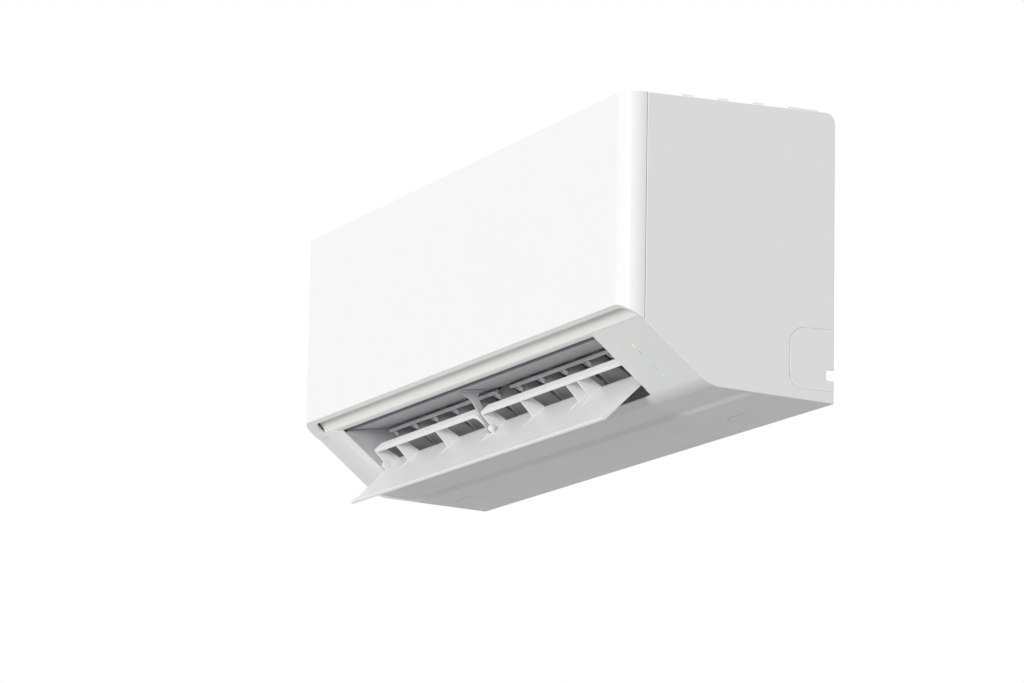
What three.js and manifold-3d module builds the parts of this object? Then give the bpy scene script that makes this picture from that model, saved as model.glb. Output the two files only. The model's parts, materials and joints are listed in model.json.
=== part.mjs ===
// Wall-mounted indoor unit of a split air conditioner, in millimetres.
// X runs along the unit (right as seen by someone facing it), -Y points into the room, +Z is up.
// Places inside the casing are given as depth (distance from the wall) and height (above the
// lowest edge), and the finished unit is hung so that the wall plate's centre is the origin.
import * as THREE from 'three';
import { mergeVertices } from 'three/addons/utils/BufferGeometryUtils.js';
import Module from 'manifold-3d';

const wasm = await Module();
wasm.setup();

// ---------------------------------------------------------------- driving dimensions
const unitWidth = 870;
const unitHeight = 295;
const unitDepth = 229;
const skin = 2.6; // wall of the moulded covers
const fit = 0.3; // gap between two pieces that touch
const running = 0.4; // radial gap of a pin in its hole

// casing profile, seen from the right
const panelSideDepth = 23; // how far the front panel wraps round the sides
const bottomRise = 0.053; // the underside climbs this much per millimetre away from the wall
const slopeRun = 72.5; // horizontal run of the outlet slope
const slopeTopHeight = 67;
const bellyRadius = 32; // rounding of that corner
const rearTopRadius = 11;
const edgeBevel = 0.8;

// top grille
const grilleRibHeight = 2.5;
const grilleRibWidth = 13;
const grilleRibPitch = 38.8;
const firstRibDepth = 45;
const grilleRibCount = 4;
const grilleSlotWidth = 20;
const grilleColumns = 10;
const grilleEdge = 9;
const grilleColumnBar = 6;

// front panel
const panelWall = 3;
const panelCornerRadius = 22;
const lipWidth = 4.5; // rim turned in along the lower edge
const lipEnd = 27; // its width at the left end; at the right end it is the bare wall
const lipEndRadius = 15;
const lipWall = 2.5;
const lipHeight = 82; // lower edge of the panel's front face
const seamGap = 0.8;
const panelHingeInset = 9.5; // behind the panel's face
const panelHingeDrop = 6.5; // below the unit's top
const panelPinRadius = 2;
const panelEarInset = 37; // from the unit's end

// outlet
const outletLeftMargin = 69; // from the unit's left end
const outletRightMargin = 120;
const frameRecess = 0.5; // the outlet frame lies this far inside the side panels' edge
const sillRun = 5.4; // the frame runs on this far past the seam, up to the cove
const bottomStep = 2.4; // height of the step across the underside
const stepSetback = 49.5; // where that step starts, behind the slope's foot
const stepRun = 6.5;
const coveSag = 2.8;
const coveWall = 2;

// flap, in its closed position: forward along the slope, inward from it
const flapPivotAlong = 32;
const flapPivotInset = 7.1;
const flapFront = 60;
const flapRear = 19.6;
const flapWall = 2.6;
const flapBarInset = 17.2; // lower face of the upper bar above the pivot
const flapBarWall = 4.6;
const flapBarFront = -1;
const flapBarDepth = 12;
const flapLegWall = 2.2;
const flapRibWall = 1.6;
const flapRibToe = 5;
const flapPinRadius = 2.2;
const flapOpening = 84; // degrees from closed to the rest pose
const flapSideGap = 2;
const flapArmOffset = 41.5; // the support arm stands this far left of the outlet's middle
const flapCentreGap = 12;
const flapFirstRib = 60; // from the flap's left end
const flapArmRibs = [-123, 108]; // from the support arm
const flapLastRibs = [156, 128]; // from the flap's right end
const supportArmWall = 3;

// fan and duct
const fanSetback = 21.5; // fan's axis behind the slope's foot
const fanHeight = 132;
const fanRadius = 46;
const fanInnerRadius = 38;
const fanBlades = 18;
const fanRings = 2;
const fanDisc = 3;
const fanEndGap = 6;
const shaftRadius = 4;
const bearingRadius = 10;
const scrollGapStart = 4;
const scrollGapEnd = 11.5;
const scrollStart = 135; // degrees, behind and above the fan
const ductWall = 2.5;
const tongueGap = 5; // between the fan and the stabiliser's edge
const tongueAngle = -35;
const floorLipCount = 3;
const floorLipPitch = 6;

// louvre vanes behind the flap
const vanesPerGroup = 6;
const vaneEndRoom = 21.5; // from the duct's wall to the first vane
const vaneWall = 1.5;
const vaneLength = 47;
const vaneUpstream = 8;
const vaneDownstream = 16;
const vanePivotInset = 51;
const vanePinRadius = 1.5;
const linkPinRadius = 1.2;
const linkArm = 13; // from a vane's pivot to its link pin
const linkWall = 2.4;
const linkWidth = 6;
const linkTab = 8;
const linkEndRoom = 12; // space beside a link bar for its side travel

// heat exchanger
const coilThickness = 25;
const coilLeftInset = 10; // from the outlet's left end
const coilSetback = 17.5; // front coil's middle behind the seam
const coilPanGap = 2; // between the front coil and the drain pan's floor
const tubeSheetWall = 1.4;
const tubeRadius = 3.6;
const bendSpan = 19;

// wall plate
const wallPlateMargin = 45; // from the unit's end
const wallPlateHeight = 196;
const wallPlateBottom = 56;
const wallPlateWall = 1.6;

// side pipe knock-out and the finger notch in it
const pipeOutletDepth = 49;
const pipeOutletBottom = 11;
const pipeOutletTop = 74;
const pipeOutletRadius = 17;
const grooveWidth = 1.2;
const grooveCut = 0.9;
const notchBottom = 22.5;
const notchTop = 33.6;
const notchDepth = 8.5;

// filters and what is behind the front panel
const innerFrameWall = 2.6;
const filterWall = 2.2;
const filterBottom = 92;
const filterDrop = 12; // below the unit's top
const filterBar = 3;
const buttonRadius = 5;
const buttonInset = 57; // from the unit's right end
const buttonHeight = 150;

// ---------------------------------------------------------------- looks
const plastic = (color, roughness = 0.42) => ({ color, roughness, metalness: 0 });
const metal = (color, roughness = 0.35) => ({ color, roughness, metalness: 1 });
const looks = {
  frontWhite: plastic(0xfafafa, 0.28),
  caseWhite: plastic(0xe4e4e4),
  underWhite: plastic(0xdadada),
  cream: plastic(0xefeee8, 0.5),
  ductGrey: plastic(0x9fa0a2, 0.55),
  flapWhite: plastic(0xf1f1f1, 0.35),
  vaneGrey: plastic(0xb9babc, 0.5),
  fanGrey: plastic(0x6d6f72, 0.5),
  darkPlastic: plastic(0x35373a, 0.55),
  board: plastic(0x2f6b44, 0.5),
  lens: plastic(0xcfe9f5, 0.15),
  filterMesh: plastic(0x54585c, 0.7),
  galvanised: metal(0xb4b7ba, 0.45),
  fins: metal(0xc3c9cc, 0.4),
  copper: metal(0xb87547, 0.3),
  brass: metal(0xc9a659, 0.3),
  motorSteel: metal(0x8e9193, 0.4),
};

// ---------------------------------------------------------------- geometry helpers
const radians = THREE.MathUtils.degToRad;

// Degrees of arc that one facet of a rounded corner covers.
function facetAngle(radius) {
  if (radius < 6) {
    return 45;
  }
  return radius < 20 ? 18 : 9;
}

// Points [a, b, radius] become an outline whose corners are rounded.
function rounded(points) {
  const outline = [];
  points.forEach(([a, b, radius = 0], i) => {
    const corner = new THREE.Vector2(a, b);
    if (!radius) {
      outline.push(corner);
      return;
    }
    const before = new THREE.Vector2(...points.at(i - 1)).sub(corner).normalize();
    const after = new THREE.Vector2(...points[(i + 1) % points.length]).sub(corner).normalize();
    const turn = Math.PI - Math.acos(THREE.MathUtils.clamp(before.dot(after), -1, 1));
    const tangent = radius * Math.tan(turn / 2);
    const start = corner.clone().addScaledVector(before, tangent);
    const middle = before.clone().add(after).normalize();
    const centre = corner.clone().addScaledVector(middle, radius / Math.cos(turn / 2));
    const sweep = Math.sign(before.cross(after)) * -turn;
    const steps = Math.max(1, Math.round(turn / radians(facetAngle(radius))));
    for (let step = 0; step <= steps; step += 1) {
      outline.push(start.clone().rotateAround(centre, (sweep * step) / steps));
    }
  });
  return outline;
}

function extrude(outline, length, basis, offset, bevel = 0) {
  const geometry = new THREE.ExtrudeGeometry(new THREE.Shape(outline), {
    depth: length - 2 * bevel,
    bevelEnabled: bevel > 0,
    bevelThickness: bevel,
    bevelSize: bevel,
    bevelOffset: -bevel,
    bevelSegments: 1,
  });
  return geometry.translate(0, 0, bevel).applyMatrix4(basis).translate(...offset);
}

const X = new THREE.Vector3(1, 0, 0);
const Y = new THREE.Vector3(0, 1, 0);
const Z = new THREE.Vector3(0, 0, 1);
const alongX = new THREE.Matrix4().makeBasis(Y, Z, X);
const towardRoom = new THREE.Matrix4().makeBasis(X, Z, Y.clone().negate());

// An outline of [depth, height, radius] points, extruded from one X to another.
function acrossX(points, from, to, bevel = 0) {
  const outline = rounded(points).map((point) => new THREE.Vector2(-point.x, point.y));
  return extrude(outline, to - from, alongX, [from, 0, 0], bevel);
}

// An outline of [x, depth, radius] points, extruded upwards.
function upright(points, bottom, top) {
  const outline = rounded(points).map((point) => new THREE.Vector2(point.x, -point.y));
  return extrude(outline, top - bottom, new THREE.Matrix4(), [0, 0, bottom]);
}

// An outline of [x, height, radius] points, extruded between two depths.
function facingRoom(points, backDepth, frontDepth) {
  return extrude(rounded(points), frontDepth - backDepth, towardRoom, [0, -backDepth, 0]);
}

function block(left, right, backDepth, frontDepth, bottom, top) {
  const size = [right - left, frontDepth - backDepth, top - bottom];
  const centre = [(left + right) / 2, -(backDepth + frontDepth) / 2, (bottom + top) / 2];
  return new THREE.BoxGeometry(...size).translate(...centre);
}

function rodX(radius, from, to, depth, height, sides = 20) {
  const rod = new THREE.CylinderGeometry(radius, radius, to - from, sides);
  return rod.rotateZ(Math.PI / 2).translate((from + to) / 2, -depth, height);
}

function rodY(radius, backDepth, frontDepth, x, height, sides = 20) {
  const rod = new THREE.CylinderGeometry(radius, radius, frontDepth - backDepth, sides);
  return rod.translate(x, -(backDepth + frontDepth) / 2, height);
}

// ---------------------------------------------------------------- joining and cutting
function solid(geometry) {
  if (!geometry.isBufferGeometry) {
    return geometry;
  }
  const bare = geometry.clone();
  bare.deleteAttribute('normal');
  bare.deleteAttribute('uv');
  const merged = mergeVertices(bare, 1e-4);
  return new wasm.Manifold(
    new wasm.Mesh({
      numProp: 3,
      vertProperties: merged.attributes.position.array,
      triVerts: new Uint32Array(merged.index.array),
    }),
  );
}

const join = (...pieces) => pieces.map(solid).reduce((whole, piece) => whole.add(piece));
const cut = (body, ...tools) => tools.map(solid).reduce((rest, tool) => rest.subtract(tool), solid(body));
const common = (body, other) => solid(body).intersect(solid(other));

function geometryOf(body) {
  if (body.isBufferGeometry) {
    return body;
  }
  const mesh = body.getMesh();
  const geometry = new THREE.BufferGeometry();
  geometry.setAttribute('position', new THREE.BufferAttribute(new Float32Array(mesh.vertProperties), 3));
  geometry.setIndex(new THREE.BufferAttribute(new Uint32Array(mesh.triVerts), 1));
  return geometry;
}

function addPart(parent, name, body, look) {
  const geometry = geometryOf(body);
  geometry.computeVertexNormals();
  const mesh = new THREE.Mesh(geometry, new THREE.MeshStandardMaterial(look));
  mesh.name = name;
  parent.add(mesh);
  return mesh;
}

const spread = (count, first, step) => Array.from({ length: count }, (_, i) => first + i * step);

// ---------------------------------------------------------------- derived places
const halfWidth = unitWidth / 2;
const seamDepth = unitDepth - panelSideDepth;
const slopeFootDepth = seamDepth - slopeRun;
const stepDepth = slopeFootDepth - stepSetback;
const fanDepth = slopeFootDepth - fanSetback;
const outletLeft = outletLeftMargin - halfWidth;
const outletRight = halfWidth - outletRightMargin;
const coilLeft = outletLeft + coilLeftInset;
const coilRight = outletRight;
const panelHingeDepth = unitDepth - panelHingeInset;
const panelHingeHeight = unitHeight - panelHingeDrop;
const panelEarX = halfWidth - panelEarInset;
const bodyTop = unitHeight - grilleRibHeight;
const coreHalf = halfWidth - skin - fit; // everything between the side panels
const underside = (depth) => bottomRise * depth;
const slopeFootHeight = underside(slopeFootDepth);
const slopeAngle = Math.atan2(slopeTopHeight - slopeFootHeight, seamDepth - slopeFootDepth);
const slopeLength = (seamDepth - slopeFootDepth) / Math.cos(slopeAngle);

// A point of the outlet's own frame: along the slope from its foot, and inward from its face.
function duct(along, inward) {
  return [
    slopeFootDepth + along * Math.cos(slopeAngle) - inward * Math.sin(slopeAngle),
    slopeFootHeight + along * Math.sin(slopeAngle) + inward * Math.cos(slopeAngle),
  ];
}

const ductFrame = new THREE.Group();
ductFrame.position.set(0, -slopeFootDepth, slopeFootHeight);
ductFrame.rotation.x = -slopeAngle;
ductFrame.updateMatrix();
const intoDuct = (geometry) => geometry.applyMatrix4(ductFrame.matrix);

const lipSlope = (lipHeight - slopeTopHeight) / (unitDepth - seamDepth);
const lipPlane = (depth) => slopeTopHeight + (depth - seamDepth) * lipSlope;
const flapPivot = duct(flapPivotAlong, flapPivotInset);


const slopeAt = (depth) => slopeFootHeight + (depth - slopeFootDepth) * Math.tan(slopeAngle);
const fanAlong =
  (fanDepth - slopeFootDepth) * Math.cos(slopeAngle) + (fanHeight - slopeFootHeight) * Math.sin(slopeAngle);
const scrollEndRadius = fanRadius + scrollGapEnd;
const floorAlong = fanAlong - scrollEndRadius; // the duct's floor is tangent to the scroll's end
const aroundFan = (radius, degrees) => [
  fanDepth + radius * Math.cos(radians(degrees)),
  fanHeight + radius * Math.sin(radians(degrees)),
];

const unit = new THREE.Group();
unit.position.z = -(wallPlateBottom + wallPlateHeight / 2);

// ---------------------------------------------------------------- side panels
const sideFront = seamDepth - seamGap;
const sideOutline = [
  [0, 0],
  [slopeFootDepth, slopeFootHeight, bellyRadius],
  [sideFront, slopeAt(sideFront)],
  [sideFront, bodyTop],
  [0, bodyTop, rearTopRadius],
];

function roundFrontBox(inset) {
  const radius = pipeOutletRadius - inset;
  return [
    [-rearTopRadius, pipeOutletBottom + inset],
    [pipeOutletDepth - inset, pipeOutletBottom + inset, radius],
    [pipeOutletDepth - inset, pipeOutletTop - inset, radius],
    [-rearTopRadius, pipeOutletTop - inset],
  ];
}

const notchOutline = [
  [-notchDepth, notchBottom],
  [notchDepth, notchBottom, 3],
  [notchDepth, notchTop, 3],
  [-notchDepth, notchTop],
];

function sidePanel(name, inner, outer) {
  const [from, to] = [Math.min(inner, outer), Math.max(inner, outer)];
  const panel = acrossX(sideOutline, from, to, edgeBevel);
  const faceIn = outer - Math.sign(outer) * grooveCut;
  const faceOut = outer + Math.sign(outer) * grooveCut;
  const [grooveFrom, grooveTo] = [Math.min(faceIn, faceOut), Math.max(faceIn, faceOut)];
  const groove = cut(
    acrossX(roundFrontBox(0), grooveFrom, grooveTo),
    acrossX(roundFrontBox(grooveWidth), grooveFrom - 1, grooveTo + 1),
  );
  addPart(unit, name, cut(panel, groove, acrossX(notchOutline, from - 1, to + 1)), looks.caseWhite);
}

// ---------------------------------------------------------------- wall plate
const plateHalf = halfWidth - wallPlateMargin;
const hookReach = plateHalf - 140;
const hookPlaces = [-hookReach, 0, hookReach];
const hookHeight = wallPlateBottom + wallPlateHeight - 12;
const backSheetDepth = 4; // rear face of the chassis, in front of the wall plate
const backSheetWall = 2.6;

function wallPlate() {
  const top = wallPlateBottom + wallPlateHeight;
  const sheet = block(-plateHalf, plateHalf, 0, wallPlateWall, wallPlateBottom, top);
  const hooks = hookPlaces.flatMap((x) => [
    block(x - 20, x + 20, wallPlateWall / 2, 9, hookHeight, hookHeight + 2),
    block(x - 20, x + 20, 9 - wallPlateWall, 9, hookHeight, hookHeight + 9),
  ]);
  const slots = [60, 200, 320].flatMap((inset) => [inset - plateHalf, plateHalf - inset]).flatMap((x) =>
    [wallPlateBottom + 25, wallPlateBottom + 165].map((height) =>
      block(x - 8, x + 8, -1, wallPlateWall + 1, height - 2.5, height + 2.5)));
  const windows = [120, 260].flatMap((inset) => [inset - plateHalf, plateHalf - inset]).map((x) =>
    block(x - 32, x + 32, -1, wallPlateWall + 1, wallPlateBottom + 60, wallPlateBottom + 130));
  addPart(unit, 'wall_plate', cut(join(sheet, ...hooks), ...slots, ...windows), looks.galvanised);
}

// ---------------------------------------------------------------- rear chassis
const ductOuterLeft = outletLeft - ductWall;
const ductOuterRight = outletRight + ductWall;
const ductMouth = frameRecess + skin + fit; // the duct walls stop behind the outlet frame
const roofTip = slopeLength - 4; // front edge of the duct's roof
const roofInset = 7.5;
const roofKnee = [57, 42]; // the roof's lowest bend, as along and inward
const scrollEnd = 180 + THREE.MathUtils.radToDeg(slopeAngle);
const scrollSteps = 10;
const scrollGap = (part) => scrollGapStart + (scrollGapEnd - scrollGapStart) * part;
const floorFront = 8;
const pinHoleRadius = vanePinRadius + running;

function scrollPoints(offset) {
  return spread(scrollSteps + 1, 0, 1 / scrollSteps).map((part) =>
    aroundFan(fanRadius + scrollGap(part) + offset, scrollStart + (scrollEnd - scrollStart) * part));
}

const bottomPlate = [
  [fit, underside(fit)],
  [stepDepth, underside(stepDepth)],
  [stepDepth + stepRun, underside(stepDepth + stepRun) + bottomStep],
  [stepDepth + stepRun, underside(stepDepth + stepRun) + bottomStep + skin],
  [stepDepth - 1, underside(stepDepth) + skin],
  [fit, underside(fit) + skin],
];

// Outline of a plate that fills the space between back sheet, underside and scroll.
const bayOutline = [
  [backSheetDepth + 1, skin / 2],
  [stepDepth, underside(stepDepth) + skin / 2],
  [stepDepth + stepRun, underside(stepDepth + stepRun) + bottomStep + skin + 1],
  duct(floorAlong - ductWall / 2, floorFront + 4),
  ...scrollPoints(ductWall / 2).reverse(),
  [backSheetDepth + 1, fanHeight + 38],
];

const driverVanes = [0, 2 * vanesPerGroup - 1];
const outletCentre = (outletLeft + outletRight) / 2;
const vanePitch = (outletRight - outletLeft - 2 * vaneEndRoom) / (2 * vanesPerGroup - 1);
const vanePlaces = spread(2 * vanesPerGroup, outletCentre - vanePitch * (vanesPerGroup - 0.5), vanePitch);

// lug that comes up through the grille near the right rear corner
const liftLugWidth = 27;
const liftLugBack = 17;
const liftLugFront = 38;
const liftLugTop = bodyTop + 2;

function rearChassis() {
  const backSheet = block(-coreHalf + 12, coreHalf - 12, backSheetDepth, backSheetDepth + backSheetWall,
    skin / 2, 258);
  const bottom = acrossX(bottomPlate, -coreHalf, coreHalf);
  const scroll = acrossX([
    ...scrollPoints(0),
    duct(floorAlong, floorFront),
    duct(floorAlong - ductWall, floorFront),
    ...scrollPoints(ductWall).reverse(),
  ], ductOuterLeft, ductOuterRight);
  const trough = acrossX([
    [backSheetDepth + 1, fanHeight + 37],
    [fanDepth - 36, fanHeight + 34.5],
    [fanDepth - 31, fanHeight + 48],
    [fanDepth - 33.4, fanHeight + 48],
    [fanDepth - 37.6, fanHeight + 37.2],
    [backSheetDepth + 1, fanHeight + 39.6],
  ], ductOuterLeft, ductOuterRight);
  const wallArc = spread(6, 45, -16).map((degrees) => aroundFan(fanRadius + tongueGap / 2, degrees));
  const ductSide = [
    ...scrollPoints(ductWall / 2),
    duct(floorAlong - ductWall, floorFront),
    duct(floorAlong + 14, ductMouth),
    duct(roofTip - 1, ductMouth),
    duct(roofTip - 1.2, roofInset),
    duct(roofKnee[0] - 1.2, roofKnee[1] + 1),
    ...wallArc.reverse(),
    [fanDepth, fanHeight + 52],
    [fanDepth - 34, fanHeight + 46],
  ];
  const ductWalls = [
    acrossX(ductSide, ductOuterLeft, outletLeft),
    acrossX(ductSide, outletRight, ductOuterRight),
  ];
  const webs = [-186, 0, 184].map((x) => acrossX(bayOutline, outletCentre + x, outletCentre + x + 2.2));
  const endOutline = [
    [12, skin / 2],
    [stepDepth, underside(stepDepth) + skin / 2],
    [stepDepth + stepRun, 14],
    [slopeFootDepth - 6, 18],
    [seamDepth - 10, 74],
    [seamDepth - 10, bodyTop - skin - 5],
    [12, bodyTop - skin - 5],
  ];
  const ends = [-coreHalf, coreHalf - skin].map((x) => acrossX(endOutline, x, x + skin));
  const lips = spread(floorLipCount, floorFront + 3, floorLipPitch).map((inward) =>
    acrossX([duct(floorAlong - 1, inward), duct(floorAlong + 1, inward), duct(floorAlong + 1, inward + 1.6),
      duct(floorAlong - 1, inward + 2.4)], ductOuterLeft, ductOuterRight));
  const lugs = [[-coreHalf + 1, -screwX + 7], [screwX - 7, coreHalf - 1]].flatMap(([left, right]) =>
    screwLevels.map((height) =>
      block(left, right, screwTip - 2, innerFrameDepth - fit, height - 7, height + 7)));
  const liftLug = block(coreHalf - liftLugWidth, coreHalf - 0.5, liftLugBack, liftLugFront, 282, liftLugTop);
  const hookSlots = hookPlaces.map((x) =>
    block(x - 21, x + 21, backSheetDepth - 1, backSheetDepth + backSheetWall + 1, hookHeight - 5,
      hookHeight + 2 + fit));
  const vaneHoles = vanePlaces.map((x) =>
    intoDuct(rodY(pinHoleRadius, floorAlong - 2 * ductWall, floorAlong + ductWall, x, vanePivotInset, 8)));
  const flapHole = rodX(flapPinRadius + fit, ductOuterLeft - 1, ductOuterRight + 1, ...flapPivot, 12);
  const shaftHole = rodX(bearingRadius + fit, ductOuterLeft - 1, ductOuterRight + 1, fanDepth, fanHeight, 24);
  const screwHoles = screwPlaces.map(([x, height]) => rodY(2.1, screwTip - 12, seamDepth + 4, x, height, 10));
  const knockOuts = [[halfWidth - 157, 46], [35 - halfWidth, 57]].map(([left, depth]) =>
    cut(
      upright(roundFrontPlan(left, left + knockOutWidth, depth, 0), -5, underside(0) + 8),
      upright(roundFrontPlan(left, left + knockOutWidth, depth, grooveWidth), -6, underside(0) + 9),
      acrossX([[-20, underside(-20) + 0.8], [90, underside(90) + 0.8], [90, 30], [-20, 30]], -halfWidth, halfWidth),
    ));
  const body = join(backSheet, bottom, scroll, trough, ...ductWalls, ...webs, ...ends, ...lips, ...lugs, liftLug);
  addPart(unit, 'rear_chassis',
    cut(body, ...hookSlots, ...vaneHoles, flapHole, shaftHole, ...screwHoles, ...knockOuts), looks.underWhite);
}

const knockOutWidth = 65;

function roundFrontPlan(left, right, depth, inset) {
  const radius = 16 - inset;
  return [
    [left + inset, -10],
    [left + inset, depth - inset, radius],
    [right - inset, depth - inset, radius],
    [right - inset, -10],
  ];
}

// ---------------------------------------------------------------- top grille
const grilleWall = 2.6;
const innerFrameDepth = seamDepth - 0.4;

function topGrille() {
  const under = bodyTop - grilleWall;
  const front = innerFrameDepth - fit;
  const back = backSheetDepth - 1.5;
  const shell = acrossX([
    [front, under],
    [front, bodyTop],
    [back, bodyTop, rearTopRadius],
    [back, 262],
    [back + grilleWall, 262],
    [back + grilleWall, under, rearTopRadius - grilleWall],
  ], -coreHalf, coreHalf);
  const ribCentres = spread(grilleRibCount, firstRibDepth, grilleRibPitch);
  const ribs = ribCentres.map((depth) =>
    acrossX([
      [depth - grilleRibWidth / 2, bodyTop - 1],
      [depth + grilleRibWidth / 2, bodyTop - 1],
      [depth + grilleRibWidth / 2, bodyTop + grilleRibHeight, 2],
      [depth - grilleRibWidth / 2, bodyTop + grilleRibHeight, 2],
    ], -coreHalf, coreHalf));
  const gapCentres = spread(grilleRibCount + 1, firstRibDepth - grilleRibPitch / 2, grilleRibPitch);
  const rows = gapCentres.map((depth) => depth - grilleSlotWidth / 2);
  const columnPitch = (2 * coreHalf - 2 * grilleEdge) / grilleColumns;
  const slots = rows.flatMap((depth) =>
    spread(grilleColumns, -coreHalf + grilleEdge, columnPitch).map((left) =>
      block(left + grilleColumnBar / 2, left + columnPitch - grilleColumnBar / 2, depth,
        depth + grilleSlotWidth, under - 1, bodyTop + 1)));
  const lugWindow = block(coreHalf - liftLugWidth - fit, coreHalf + 1, liftLugBack - fit, liftLugFront + fit,
    under - 1, bodyTop + 1);
  addPart(unit, 'top_grille', cut(join(shell, ...ribs), ...slots, lugWindow), looks.caseWhite);
}

// ---------------------------------------------------------------- outlet frame
const stepEnd = stepDepth + stepRun + fit;
const openingFoot = flapPivotAlong - flapRear - 1.6; // lower edge of the outlet, along the slope
const ledX = halfWidth - 66.3;
const ledFirst = 26.7;
const ledPitch = 10.3;
const ledCount = 5;
const ledWidth = 3;
const ledLength = 4.4;
const sillLeft = lipEnd + seamGap - halfWidth;
const sillRight = halfWidth - panelWall - seamGap;
const sillStart = slopeLength + 0.6; // upper edge of the outlet
const sillEnd = slopeLength + sillRun;
const sillFlange = roofInset - 0.8; // it turns in as far as the duct's roof
const trimRight = outletLeft - 13;
const trimWall = 1.4;

// Where the slope's face, set in by recess, meets the front part of the underside, raised by lift.
function footOfSlope(recess, lift) {
  const along =
    (lift - recess * (Math.cos(slopeAngle) + bottomRise * Math.sin(slopeAngle))) /
    (Math.sin(slopeAngle) - bottomRise * Math.cos(slopeAngle));
  return duct(along, recess);
}

function slopePatch(alongFrom, alongTo, inwardFrom, inwardTo, left, right) {
  return acrossX([duct(alongFrom, inwardFrom), duct(alongTo, inwardFrom), duct(alongTo, inwardTo),
    duct(alongFrom, inwardTo)], left, right);
}

const lipInner = unitDepth - lipWidth;

// Plan of the mouth inside the panel's lip, which the sill and the cove fill.
function lipMouth(gap, back) {
  const left = lipEnd + gap - halfWidth;
  const right = halfWidth - panelWall - gap;
  const front = lipInner - gap;
  return [[left, back], [left, front, lipEndRadius - gap], [right, front, panelCornerRadius - panelWall - gap],
    [right, back]];
}

const ledPlaces = spread(ledCount, ledFirst, ledPitch);
const frameInner = frameRecess + skin;

function lowerFrame() {
  const shell = acrossX([
    duct(slopeLength, frameRecess),
    [...footOfSlope(frameRecess, bottomStep), bellyRadius],
    [stepEnd, underside(stepEnd) + bottomStep],
    [stepEnd, underside(stepEnd) + bottomStep + skin],
    [...footOfSlope(frameInner, bottomStep + skin), bellyRadius - skin],
    duct(slopeLength, frameInner),
  ], -coreHalf, coreHalf);
  const sillPatch = slopePatch(slopeLength - 2, sillEnd, frameRecess, frameInner, sillLeft, sillRight);
  const sill = common(sillPatch, upright(lipMouth(seamGap, slopeFootDepth), 50, 120));
  const flange = slopePatch(sillStart, sillStart + 1.6, frameRecess, sillFlange, outletLeft - 3, outletRight + 3);
  const opening = slopePatch(openingFoot, sillStart, -skin, frameInner + skin, outletLeft, outletRight);
  const windows = ledPlaces.map((along) =>
    slopePatch(along - fit, along + ledLength + fit, -skin, frameInner + skin, ledX - fit, ledX + ledWidth + fit));
  const pocket = slopePatch(openingFoot - fit, sillEnd + skin, -skin, frameRecess + trimWall, sillLeft - fit,
    trimRight + fit);
  addPart(unit, 'outlet_frame', cut(join(shell, sill, flange), opening, ...windows, pocket), looks.underWhite);
}

function outletFittings() {
  const trim = slopePatch(openingFoot, sillEnd, frameRecess - 0.3, frameRecess + trimWall - fit, sillLeft,
    trimRight);
  addPart(unit, 'outlet_end_trim', trim, looks.frontWhite);
  const base = slopePatch(ledFirst - 5, ledFirst + ledPitch * (ledCount - 1) + ledLength + 5, frameInner + fit,
    frameInner + 2, ledX - 4, ledX + ledWidth + 4);
  const pips = ledPlaces.map((along) =>
    slopePatch(along, along + ledLength, frameRecess, frameInner + 1, ledX, ledX + ledWidth));
  addPart(unit, 'indicator_lenses', join(base, ...pips), looks.lens);
  const board = slopePatch(ledFirst - 8, ledFirst + ledPitch * ledCount + 8, frameInner + 2 + fit,
    frameInner + 3.9, ledX - 32, ledX + 50);
  addPart(unit, 'display_board', board, looks.board);
}

// ---------------------------------------------------------------- cream cove under the panel's lip
const coveFront = lipInner - seamGap;
const coveFlange = frameRecess + 3.6;

function planInset(inset, back) {
  const half = halfWidth - inset;
  const radius = panelCornerRadius - inset;
  return [[-half, back], [-half, unitDepth - inset, radius], [half, unitDepth - inset, radius], [half, back]];
}

function cove() {
  const start = new THREE.Vector2(...duct(sillEnd + fit, frameRecess));
  const end = new THREE.Vector2(coveFront, lipPlane(lipInner) + lipWall + 1);
  const chord = end.clone().sub(start);
  const inward = new THREE.Vector2(-chord.y, chord.x).normalize();
  const curve = spread(9, 0, 1 / 8).map((part) =>
    start.clone().addScaledVector(chord, part).addScaledVector(inward, 4 * coveSag * part * (1 - part)));
  const back = curve.slice(2).map((point) => point.clone().addScaledVector(inward, coveWall)).reverse();
  const shell = acrossX([
    duct(sillEnd + fit, coveFlange),
    ...curve.map((point) => [point.x, point.y]),
    [coveFront, filterBottom - 2],
    [innerFrameDepth + innerFrameWall + fit, filterBottom - 2],
    [innerFrameDepth + innerFrameWall + fit, filterBottom - 4],
    [coveFront - coveWall, filterBottom - 4],
    ...back.map((point) => [Math.min(point.x, coveFront - coveWall), point.y]),
    duct(sillEnd + fit + coveWall, coveFlange),
  ], 1 - coreHalf, coreHalf - 1);
  const plan = upright(lipMouth(seamGap, slopeFootDepth), 50, 120);
  addPart(unit, 'cove_strip', common(shell, plan), looks.cream);
}

// ---------------------------------------------------------------- front panel
const ring = (outer, inner, bottom, top) =>
  cut(upright(planInset(outer, seamDepth), bottom, top), upright(planInset(inner, seamDepth - 5), bottom - 1, top + 1));

const hingeEyeRadius = 4.6;

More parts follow.
